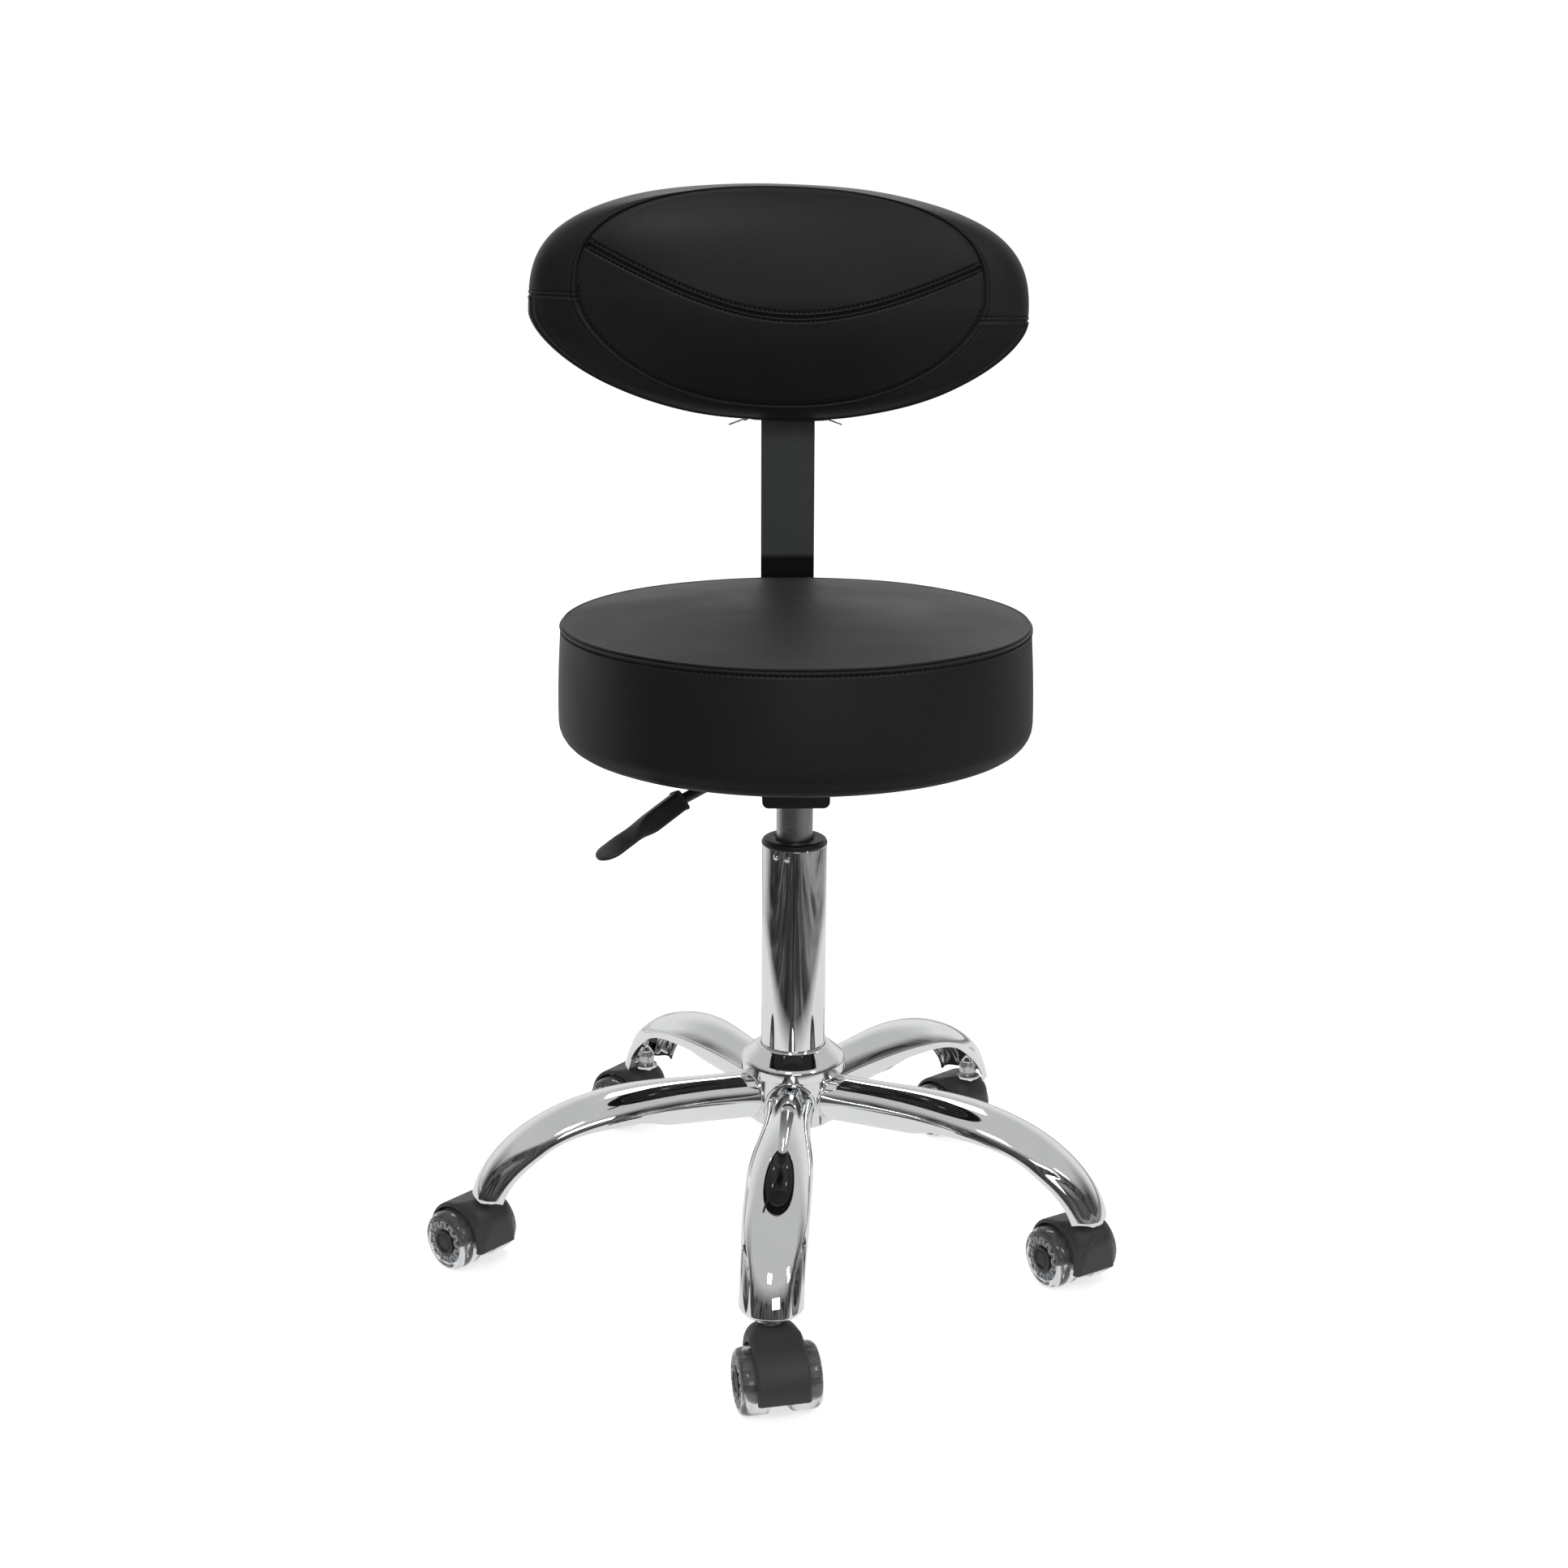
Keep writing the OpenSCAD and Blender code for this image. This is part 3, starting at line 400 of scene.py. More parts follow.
def stitch_mesh(points, normals, length, width, sink, tilt=0.0):
    """Thread stitches laid along a line of points: each one is a small bowed bar."""
    parts = []
    for k in range(len(points) - 1):
        p = (points[k] + points[k + 1]) / 2
        t = (points[k + 1] - points[k]).normalized()
        n = (normals[k] + normals[k + 1]).normalized()
        b = t.cross(n).normalized()
        t = (t + b * tilt).normalized()
        rings = []
        for u, w, h in ((-0.5, 0.35, -1.2), (-0.36, 0.9, 0.0), (0, 1.0, 0.45), (0.36, 0.9, 0.0), (0.5, 0.35, -1.2)):
            c = p + t * (u * length) + n * (h * width - sink)
            rings.append([c + b * (w * width * math.cos(a)) + n * (w * width * math.sin(a))
                          for a in (math.radians(60 * i) for i in range(6))])
        parts.append(loft(rings, True, True))
    return joined(parts)


def resample(points, normals, step, closed):
    """Points at equal steps along a polyline, with their normals."""
    pts = list(points) + ([points[0]] if closed else [])
    nms = list(normals) + ([normals[0]] if closed else [])
    dist = [0.0]
    for a, b in zip(pts, pts[1:]):
        dist.append(dist[-1] + (b - a).length)
    count = max(2, round(dist[-1] / step))
    out_p, out_n, k = [], [], 0
    for i in range(count + 1):
        d = dist[-1] * i / count
        while k < len(pts) - 2 and dist[k + 1] < d:
            k += 1
        u = (d - dist[k]) / max(1e-9, dist[k + 1] - dist[k])
        out_p.append(pts[k].lerp(pts[k + 1], u))
        out_n.append(nms[k].lerp(nms[k + 1], u).normalized())
    return out_p, out_n


# ---------------------------------------------------------------- seat

STITCH_STEP = 3.9 * MM
STITCH_LEN = 2.9 * MM
STITCH_W = 0.55 * MM
NO_STITCH = 1.0


def seam_shape(d, depth, ridge, stitch_at):
    """Height of a sewn edge at distance d from its seam: groove, padded ridge, stitch line."""
    d = abs(d)
    groove = -depth * math.exp(-(d / (0.9 * MM)) ** 2)
    puff = 1.5 * ridge * math.exp(-((d - 2.0 * MM) / (1.3 * MM)) ** 2)
    dent = -0.8 * MM * math.exp(-((d - stitch_at) / (0.8 * MM)) ** 2)
    return groove + puff + dent


def seat_profile(lo, hi):
    """Outline of the cushion from the top centre to the under-cloth, as (r, z) at fine steps."""
    wall_r, low, top = hi.x, lo.z, hi.z
    bulge, crown, edge = 3 * MM, 8 * MM, 19 * MM
    seam_r, rim = wall_r - bulge, top - crown
    pts = [(seam_r * i / 175, rim + crown * (1 - (i / 175) ** 3.0)) for i in range(176)]
    for i in range(1, 52):
        u = i / 51
        pts.append((seam_r + bulge * math.sin(math.pi / 2 * u), rim + (low + edge - rim) * u))
    for i in range(1, 60):
        a = -math.pi / 2 * i / 60
        pts.append((wall_r - edge + edge * math.cos(a), low + edge + edge * math.sin(a)))
    inner_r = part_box("dust_cover")[1].x + 0.5 * MM
    pts += [(wall_r - edge + (inner_r - wall_r + edge) * i / 23, low) for i in range(24)]
    pts += [(inner_r - 0.2 * MM * i, low + 0.6 * MM * i) for i in range(1, 6)]
    return np.array(pts), seam_r, rim


def even_line(pts, step):
    """Points of a polyline at equal steps, lightly smoothed."""
    s = np.concatenate([[0], np.cumsum(np.hypot(*np.diff(pts, axis=0).T))])
    t = np.linspace(0, s[-1], int(s[-1] / step))
    out = np.stack([np.interp(t, s, pts[:, 0]), np.interp(t, s, pts[:, 1])], 1)
    k = np.exp(-np.linspace(-2, 2, 9) ** 2)
    k /= k.sum()
    for c in range(2):
        out[4:-4, c] = np.convolve(out[:, c], k, "valid")
    return t, out


def make_seat():
    lo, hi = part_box("seat_cover")
    pts, seam_r, rim = seat_profile(lo, hi)
    s, line = even_line(pts, 0.5 * MM)
    tangent = np.gradient(line, axis=0)
    tangent /= np.hypot(*tangent.T)[:, None]
    normal = np.stack([-tangent[:, 1], tangent[:, 0]], 1)
    s_seam = s[int(np.argmin(np.hypot(line[:, 0] - seam_r, line[:, 1] - rim)))]
    last = len(s) - 1
    keep = [k for k in range(1, last + 1) if abs(s[k] - s_seam) < 9 * MM or k % 8 == 0 or k == last]
    steps = 288
    rings = []
    for k in keep:
        d = s[k] - s_seam
        off = seam_shape(d, 1.5 * MM, 0.55 * MM, 4.2 * MM if d > 0 else NO_STITCH) if abs(d) < 12 * MM else 0.0
        soft = smooth01(0, 0.06, line[k, 0]) * smooth01(lo.z, lo.z + 0.02, line[k, 1])
        ring = []
        for i in range(steps):
            a = 2 * math.pi * i / steps
            c = Vector((math.cos(a), math.sin(a), 0))
            wave = noise.noise(Vector((c.x * line[k, 0] * 12, c.y * line[k, 0] * 12, line[k, 1] * 9))) * 0.8 * MM
            r, z = line[k] + normal[k] * (off + wave * soft)
            ring.append(c * max(r, 1e-5) + Vector((0, 0, z)))
        rings.append(ring)
    verts, faces = loft(rings)
    faces = [tuple(reversed(f)) for f in faces]
    tip = len(verts)
    verts.append(Vector((0, 0, line[0, 1])))
    faces += [(tip, i, (i + 1) % steps) for i in range(steps)]
    seat = add_piece("seat_cushion_cover", verts, faces, "seat", "vinyl", "vinyl", sharp=80)
    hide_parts("seat_cover", "seat_foam")
    k = int(np.argmin(np.abs(s - s_seam - 4.2 * MM)))
    ring_p, ring_n = [], []
    for i in range(720):
        a = 2 * math.pi * i / 720
        c = Vector((math.cos(a), math.sin(a), 0))
        ring_p.append(c * line[k, 0] + Vector((0, 0, line[k, 1])))
        ring_n.append((c * normal[k, 0] + Vector((0, 0, normal[k, 1]))).normalized())
    p, n = resample(ring_p, ring_n, STITCH_STEP, True)
    v, f = stitch_mesh(p, n, STITCH_LEN, STITCH_W, 0.25 * MM, 0.12)
    add_piece("seat_rim_stitches", v, f, "seat", "thread", "vinyl")


# ---------------------------------------------------------------- back pad


class Oval:
    """Superellipse with its own upper and lower roundness; at(s) runs round it by arc length."""

    def __init__(self, cz, w, up, down, powers):
        self.cz, self.w, self.up, self.down = cz, w, up, down
        self.p, self.qu, self.qd = powers
        n = 4096
        self.table = np.array([self.at_angle(2 * math.pi * i / n) for i in range(n + 1)])
        self.arc = np.concatenate([[0], np.cumsum(np.hypot(*np.diff(self.table, axis=0).T))])
        self.length = self.arc[-1]

    def at_angle(self, a):
        sn = math.sin(a)
        up = sn >= 0
        z = (self.up if up else self.down) * spow(sn, 2 / (self.qu if up else self.qd))
        return self.w * spow(math.cos(a), 2 / self.p), self.cz + z

    def at(self, s):
        d = (s % 1.0) * self.length
        return float(np.interp(d, self.arc, self.table[:, 0])), float(np.interp(d, self.arc, self.table[:, 1]))

    def radius(self, x, z):
        """1 on the outline, 0 at the middle."""
        z -= self.cz
        up = z >= 0
        v = abs(z) / (self.up if up else self.down)
        return (abs(x / self.w) ** self.p + v ** (self.qu if up else self.qd)) ** (1 / self.p)

    def inside(self, x, z):
        """Roughly how far a point lies inside the outline."""
        f = max(0.02, self.radius(x, z))
        return math.hypot(x, z - self.cz) * (1 / f - 1)


class Pad:
    """The back pad in its own frame: x right, z up, y backward, origin at its screws."""

    def __init__(self):
        lo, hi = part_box("back_cover")
        s_lo, s_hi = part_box("back_screws")
        self.roll = math.radians(1.5)
        self.mid = Vector(((lo.x + hi.x) / 2, 0, (s_lo.z + s_hi.z) / 2))
        half_w = (hi.x - lo.x) / 2
        up, down = hi.z - self.mid.z, self.mid.z - lo.z
        self.full = Oval(0, half_w, up, down, (2.2, 3.1, 1.52))
        self.front = Oval(18 * MM, half_w - 40.5 * MM, up - 20.5 * MM, down + 3.5 * MM, (2.2, 2.9, 1.6))
        self.back = Oval(8 * MM, half_w - 32 * MM, up - 19 * MM, down - 1 * MM, (2.2, 2.9, 1.6))
        self.y_mid = lo.y + 50 * MM
        self.y_front, self.y_back = lo.y, hi.y
        self.y_seam = lo.y + 17 * MM
        self.y_back_seam = hi.y - 3 * MM
        self.side_z = {-1: 14 * MM, 1: 4 * MM}
        self.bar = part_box("back_bar")[1]

    def place(self, x, y, z):
        c, s = math.cos(self.roll), math.sin(self.roll)
        return Vector((self.mid.x + x * c + z * s, y, self.mid.z - x * s + z * c))

    def smile(self, x):
        u = (x - 6 * MM) / (110 * MM)
        return (4.5 + 64 * (math.sqrt(1 + u * u) - 1)) * MM - 0.019 * x

    def smile_slope(self, x):
        return (self.smile(x + 1e-4) - self.smile(x - 1e-4)) / 2e-4

    def front_y(self, x, z):
        f = min(1.0, self.front.radius(x, z))
        droop = smooth01(0.0, -1.0, (z - self.front.cz) / self.front.down) * 3 * MM
        return self.y_seam - (self.y_seam - self.y_front) * (1 - f ** 2.6) * 0.97 + droop * (1 - f)

    def smile_distance(self, x, z):
        return (z - self.smile(x)) / math.sqrt(1 + self.smile_slope(x) ** 2)

    def smile_ends(self):
        """Arc positions at which the smile seam meets the oval seam, left and right."""
        def miss(s):
            x, z = self.front.at(s)
            return abs(z - self.smile(x))
        left = min((0.36 + 0.0002 * k for k in range(900)), key=miss)
        right = min((-0.06 + 0.0002 * k for k in range(900)), key=miss)
        return left, right


def lift_points(points, faces, heights, facing):
    """Moves each point by its height along its normal, after turning the faces to the given side."""
    me = bpy.data.meshes.new("tmp")
    me.from_pydata([tuple(p) for p in points], [], faces)
    me.update()
    agree = sum(Vector(n.vector).dot(facing(p)) for n, p in zip(me.vertex_normals, points))
    sign = 1 if agree > 0 else -1
    normals = [Vector(n.vector) * sign for n in me.vertex_normals]
    bpy.data.meshes.remove(me)
    faces = faces if sign > 0 else [tuple(reversed(f)) for f in faces]
    return [p + n * h for p, n, h in zip(points, normals, heights)], normals, faces


def eased(i, n):
    """Even steps drawn closer together towards both ends."""
    return 0.5 * (1 - math.cos(math.pi * i / n))


def tucked(points, row, shift):
    """Copy of a row of points moved inward: the seam allowance of a panel."""
    return [points[k] + shift(points[k]) for k in row]


def front_panel(pad, upper):
    """Skin between the smile seam and one arc of the oval seam, with its seam allowances."""
    s_left, s_right = pad.smile_ends()
    if not upper:
        s_right += 1
    cols, rows = 220, 84
    xl, xr = pad.front.at(s_left)[0], pad.front.at(s_right)[0]
    pts, heights = [], []
    for j in range(rows + 1):
        v = eased(j, rows)
        for i in range(cols + 1):
            u = eased(i, cols)
            xs = xl + (xr - xl) * u
            ox, oz = pad.front.at(s_left + (s_right - s_left) * u)
            x, z = xs + (ox - xs) * v, pad.smile(xs) + (oz - pad.smile(xs)) * v
            pts.append(pad.place(x, pad.front_y(x, z), z))
            d1, d2 = abs(pad.smile_distance(x, z)), pad.front.inside(x, z)
            h = seam_shape(d1, 1.7 * MM, 0.6 * MM, 3.6 * MM) if d1 < 12 * MM else 0.0
            if d2 < 12 * MM:
                h += seam_shape(d2, 1.6 * MM, 0.3 * MM, NO_STITCH if upper else 2.1 * MM)
            calm = smooth01(0, 12 * MM, d1) * smooth01(0, 20 * MM, d2)
            heights.append(h + calm * 0.9 * MM * noise.noise(Vector((x * 11, z * 15, 3.1 if upper else 7.7))))
    w = cols + 1
    quads = [(j * w + i, j * w + i + 1, (j + 1) * w + i + 1, (j + 1) * w + i)
             for j in range(rows) for i in range(cols)]
    moved, normals, faces = lift_points(pts, quads, heights, lambda p: Vector((0, -1, 0)))
    flip = faces[0][1] != 1
    centre = pad.place(0, 0, pad.front.cz)
    for row, pull in ((range(w), 0.0), (range(rows * w, (rows + 1) * w), 0.02)):
        base = len(moved)
        moved += tucked(moved, row, lambda p: Vector(((centre.x - p.x) * pull, 4 * MM, (centre.z - p.z) * pull)))
        for i in range(cols):
            quad = (row[i], base + i, base + i + 1, row[i + 1])
            first = row[0] == 0
            faces.append(quad if first == flip else tuple(reversed(quad)))
    return moved, faces


def border_columns(pad):
    """Arc positions round the border, finer where the two side seams cross it."""
    cols = [i / 360 for i in range(360)]
    for mid in (0.0, 0.5):
        cols += [(mid + 0.0007 * k) % 1.0 for k in range(-40, 41)]
    return sorted(set(round(c, 5) for c in cols))


def border_rows(psi0, psi1, zip_psi):
    """Angles across the border, finer near its edges and at the zipper."""
    rows = [psi0 + (psi1 - psi0) * eased(k, 60) for k in range(61)]
    rows += [zip_psi + math.radians(0.6) * k for k in range(-14, 15)]
    return sorted(set(round(b, 5) for b in rows))


def border_point(pad, s, psi, psi0, psi1):
    edge, limit = (pad.front, psi0) if psi < 0 else (pad.back, psi1)
    y_edge = pad.y_seam if psi < 0 else pad.y_back_seam
    g = (1 - math.cos(psi)) / (1 - math.cos(limit))
    (wx, wz), (ox, oz) = pad.full.at(s), edge.at(s)
    y = pad.y_mid + (y_edge - pad.y_mid) * math.sin(psi) / math.sin(limit)
    return wx + (ox - wx) * g, y, wz + (oz - wz) * g


def below_sides(pad, x, z):
    """True on the lower part of the border, which carries the zipper."""
    return z < pad.side_z[-1 if x < 0 else 1] - 1.0 * MM


def throat(pad, p):
    """Pucker of the cover where the bar enters it."""
    d = max(abs(p.x) - pad.bar.x, abs(p.y - pad.bar.y + 3 * MM) - 4 * MM, 0.0)
    near = smooth01(pad.mid.z - 40 * MM, pad.mid.z - 60 * MM, p.z)
    return near * (-3.5 * math.exp(-(d / (4 * MM)) ** 2) + 1.2 * math.exp(-((d - 7 * MM) / (2.5 * MM)) ** 2)) * MM


def make_border(pad, zip_psi):
    """Skin from the oval seam round the widest outline to the back panel's seam."""
    psi0, psi1 = -math.radians(70.5), math.radians(66)
    cols, rows = border_columns(pad), border_rows(psi0, psi1, zip_psi)
    arc = 42 * MM
    pts, heights, flat = [], [], []
    for psi in rows:
        for s in cols:
            x, y, z = border_point(pad, s, psi, psi0, psi1)
            p = pad.place(x, y, z)
            pts.append(p)
            flat.append((x, z))
            d_front, d_back = (psi - psi0) * arc, (psi1 - psi) * arc
            h = throat(pad, p)
            for d in (d_front, d_back):
                h += seam_shape(d, 1.6 * MM, 0.45 * MM, 3.2 * MM) if d < 12 * MM else 0.0
            d = z - pad.side_z[-1 if x < 0 else 1]
            if abs(d) < 12 * MM and abs(x) > 0.1:
                h += seam_shape(d, 0.8 * MM, 0.35 * MM, 3.4 * MM if d > 0 else NO_STITCH)
            if below_sides(pad, x, z):
                d = abs(psi - zip_psi) * arc
                h += (0.6 * math.exp(-((d - 4 * MM) / (1.2 * MM)) ** 2) - 1.8 * math.exp(-(d / (2.2 * MM)) ** 4)) * MM
            calm = smooth01(0, 10 * MM, d_front) * smooth01(0, 10 * MM, d_back)
            heights.append(h + calm * 0.8 * MM * noise.noise(Vector((x * 14, y * 14, z * 14))))
    m = len(cols)
    quads = [(k * m + i, k * m + (i + 1) % m, (k + 1) * m + (i + 1) % m, (k + 1) * m + i)
             for k in range(len(rows) - 1) for i in range(m)]
    centre = pad.place(0, pad.y_mid, 0)
    moved, normals, faces = lift_points(pts, quads, heights, lambda p: p - centre)
    grid = {"p": list(moved), "n": normals, "flat": flat, "m": m, "rows": rows}
    flip = faces[0][1] != 1
    last = (len(rows) - 1) * m
    for start, back in ((0, 4 * MM), (last, -4 * MM)):
        base = len(moved)
        moved += tucked(moved, range(start, start + m),
                        lambda p: Vector(((centre.x - p.x) * 0.03, back, (centre.z - p.z) * 0.03)))
        for i in range(m):
            j = (i + 1) % m
            quad = (start + i, base + i, base + j, start + j)
            faces.append(quad if (start == 0) == flip else tuple(reversed(quad)))
    return moved, faces, grid


def back_panel(pad):
    """Slightly crowned panel at the back of the pad."""
    m, count = 240, 44
    pts, heights = [], []
    for k in range(count):
        f = max(0.004, 1 - eased(k, count - 1))
        for i in range(m):
            ox, oz = pad.back.at(i / m)
            x, z = ox * f, pad.back.cz + (oz - pad.back.cz) * f
            pts.append(pad.place(x, pad.y_back_seam + (pad.y_back - pad.y_back_seam) * (1 - f * f) * 0.8, z))
            d = pad.back.inside(x, z)
            h = seam_shape(d, 1.6 * MM, 0.3 * MM, NO_STITCH) if d < 12 * MM else 0.0
            heights.append(h + smooth01(0, 15 * MM, d) * 0.8 * MM * noise.noise(Vector((x * 12, 9, z * 12))))
    quads = [(k * m + i, k * m + (i + 1) % m, (k + 1) * m + (i + 1) % m, (k + 1) * m + i)
             for k in range(count - 1) for i in range(m)]
    quads.append(tuple(range((count - 1) * m, count * m)))
    moved, normals, faces = lift_points(pts, quads, heights, lambda p: Vector((0, 1, 0)))
    return moved, faces


def make_pad():
    pad = Pad()
    zip_psi = -math.radians(22)
    border, border_faces, grid = make_border(pad, zip_psi)
    parts = [front_panel(pad, True), front_panel(pad, False), (border, border_faces), back_panel(pad)]
    verts, faces = joined(parts)
    cover = add_piece("back_pad_cover", verts, faces, "back_rest", "vinyl", "vinyl", sharp=85)
    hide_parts("back_cover", "back_foam")
    pad_stitches(pad, grid)
    pad_zip(pad, grid, zip_psi)


def front_normal(pad, x, z):
    e = 1e-3
    dx = (pad.front_y(x + e, z) - pad.front_y(x - e, z)) / (2 * e)
    dz = (pad.front_y(x, z + e) - pad.front_y(x, z - e)) / (2 * e)
    n = Vector((dx, -1, dz)).normalized()
    c, s = math.cos(pad.roll), math.sin(pad.roll)
    return Vector((n.x * c + n.z * s, n.y, -n.x * s + n.z * c))


def smile_run(pad, side):
    s_left, s_right = pad.smile_ends()
    xl, xr = pad.front.at(s_left)[0], pad.front.at(s_right)[0]
    pts, nms = [], []
    for i in range(401):
        x0 = xl + (xr - xl) * i / 400
        slope = pad.smile_slope(x0)
        k = side * 3.6 * MM / math.sqrt(1 + slope * slope)
        x, z = x0 - k * slope, pad.smile(x0) + k
        if pad.front.radius(x, z) < 0.975:
            nms.append(front_normal(pad, x, z))
            pts.append(pad.place(x, pad.front_y(x, z), z))
    return pts, nms


def lower_rim_run(pad):
    pts, nms = [], []
    for i in range(301):
        x, z = pad.front.at(0.505 + 0.49 * i / 300)
        k = 1 - 2.1 * MM / math.hypot(x, z - pad.front.cz)
        x, z = x * k, pad.front.cz + (z - pad.front.cz) * k
        pts.append(pad.place(x, pad.front_y(x, z), z))
        nms.append(front_normal(pad, x, z))
    return pts, nms


def grid_run(grid, picks):
    return [grid["p"][k] for k in picks], [grid["n"][k] for k in picks]


def pad_stitches(pad, grid):
    m, rows = grid["m"], grid["rows"]
    runs = [smile_run(pad, -1), smile_run(pad, 1), lower_rim_run(pad)]
    row = min(range(len(rows)), key=lambda k: abs((rows[k] - rows[0]) * 42 * MM - 3.2 * MM))
    upper = [i for i in range(m) if not below_sides(pad, *grid["flat"][row * m + i])]
    cut = next((k for k in range(len(upper) - 1) if upper[k + 1] - upper[k] > 1), len(upper) - 1)
    runs.append(grid_run(grid, [row * m + i for i in upper[cut + 1:] + upper[:cut + 1]]))
    row = min(range(len(rows)), key=lambda k: abs((rows[-1] - rows[k]) * 42 * MM - 3.2 * MM))
    runs.append(grid_run(grid, [row * m + i % m for i in range(m + 1)]))
    for side in (-1, 1):
        picks = []
        for k in range(6, len(rows) - 6):
            near = [i for i in range(m) if grid["flat"][k * m + i][0] * side > 0.1]
            want = pad.side_z[side] + 3.4 * MM
            picks.append(k * m + min(near, key=lambda i: abs(grid["flat"][k * m + i][1] - want)))
        runs.append(grid_run(grid, picks))
    parts = []
    for pts, nms in runs:
        p, n = resample(pts, nms, STITCH_STEP, False)
        parts.append(stitch_mesh(p, n, STITCH_LEN, STITCH_W, 0.1 * MM, 0.12))
    v, f = joined(parts)
    add_piece("back_pad_stitches", v, f, "back_rest", "thread", "vinyl")


def pad_zip(pad, grid, zip_psi):
    m, rows = grid["m"], grid["rows"]
    row = min(range(len(rows)), key=lambda k: abs(rows[k] - zip_psi))
    lower = [i for i in range(m) if below_sides(pad, *grid["flat"][row * m + i])][3:-3]
    pts, nms = grid_run(grid, [row * m + i for i in lower])
    p, n = resample(pts, nms, 1.5 * MM, False)
    parts = []
    for k in range(len(p) - 1):
        t = (p[k + 1] - p[k]).normalized()
        b = t.cross(n[k]).normalized()
        c = p[k] + n[k] * 0.5 * MM + b * (0.5 * MM if k % 2 else -0.5 * MM)
        rings = [[c + b * (u * 1.3 * MM) + t * (0.5 * MM * dx) + n[k] * (0.55 * MM * dy)
                  for dx, dy in ((-1, -1), (1, -1), (0.8, 1), (-0.8, 1))] for u in (-1, 1)]
        parts.append(loft(rings, True, True))
    v, f = joined(parts)
    add_piece("zipper_teeth", v, f, "back_rest", "black_plastic", "black_plastic")


def make_zip_pulls():
    """Two flat tabs hanging from their sliders, just beside the bar."""
    lo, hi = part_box("zip_pulls")
    parts = []
    for side in (-1, 1):
        x0 = hi.x - 4 * MM if side > 0 else lo.x + 4 * MM
        base = Vector((x0 - side * 3 * MM, (lo.y + hi.y) / 2, hi.z - 0.5 * MM))
        out = Vector((side * 0.94, 0, -0.34)).normalized()
        up = Vector((side * 0.34, 0, 0.94)).normalized()
        rings = []
        for u, w, t in ((0, 2.2, 1.6), (3, 2.6, 1.6), (4, 1.5, 0.8), (6, 1.5, 0.6), (8, 3.2, 0.6), (13, 3.2, 0.6),
                        (15.5, 2.6, 0.6), (16.5, 1.4, 0.5)):
            c = base + out * (u * MM)
            rings.append([c + Vector((0, 1, 0)) * (w * MM * spow(math.cos(a), 0.5)) + up * (t * MM * spow(math.sin(a), 0.5))
                          for a in (math.radians(15 + 30 * i) for i in range(12))])
        parts.append(loft(rings, True, True))
    v, f = joined(parts)
    pulls = add_piece("zip_pull_tabs", v, f, "back_rest", "steel")
    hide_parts("zip_pulls")


# ---------------------------------------------------------------- base


def joint(name):
    return next(j for j in frame["joints"] if j["name"] == name)


def stem_place(i):
    return Vector(joint(f"caster_{i}_swivel")["pos_m"])


def blend_at(a, b, v):
    return smooth01(a * MM, b * MM, v)


class Leg:
    """One pressed leg: a round tube at the hub that opens into a channel towards its tip."""

    def __init__(self, i):
        lo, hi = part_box("base_legs")
        stem = stem_place(i)
        self.out = Vector((stem.x, stem.y, 0)).normalized()
        self.side = Vector((-self.out.y, self.out.x, 0))
        self.top, self.flat_r = hi.z, 95 * MM
        self.reach = math.hypot(stem.x, stem.y) + 14 * MM - self.flat_r
        self.drop, self.bow, self.end = 95 * MM, 0.9, math.radians(80.5)
        self.hub_r, self.tube_r = 33.5 * MM, 18 * MM

    def spine(self, u):
        """Radius, height and pitch at u: 0..1 on the straight run, 1..2 on the curve."""
        if u <= 1:
            return self.hub_r + (self.flat_r - self.hub_r) * u, self.top, 0.0
        t = self.end * (u - 1)
        s, c = math.sin(t), math.cos(t)
        r = self.flat_r + self.reach * s ** self.bow
        rise = -self.drop * s
        run = self.reach * self.bow * s ** (self.bow - 1) * c
        return r, self.top - self.drop * (1 - c), math.atan2(rise, run)

    def section(self, r):
        half_w = 18 + 6.25 * blend_at(60, 160, r) - 1.5 * blend_at(190, 250, r)
        half_h = 18 - 2 * blend_at(80, 200, r)
        wrap = 176 - 66 * blend_at(75, 130, r) - 14 * blend_at(120, 200, r)
        return half_w * MM, half_h * MM, math.radians(wrap)

    def point(self, u, q, sink):
        r, z, pitch = self.spine(u - 0.05 * math.sin(q) ** 4 * smooth01(1.8, 2.0, u))
        w, h, _ = self.section(r)
        y = (w - sink) * math.sin(q)
        n = (h - sink) * math.cos(q) - h
        fold = (22.5 - 9.5 * smooth01(200 * MM, 253 * MM, r)) * MM
        crease = smooth01(fold, fold + 2.2 * MM, abs(y)) * blend_at(190, 225, r)
        n -= 2.0 * MM * crease * (1 - smooth01(0, 1, sink / (4 * MM)))
        x = r
        if u < 1:
            meet = math.sqrt(self.hub_r ** 2 - y * y) + 0.25 * MM
            x = meet + (r - meet) * smooth01(0, 0.5, u) if u < 0.5 else r
        x -= n * math.sin(pitch)
        z += n * math.cos(pitch)
        return self.out * x + self.side * y + Vector((0, 0, z))


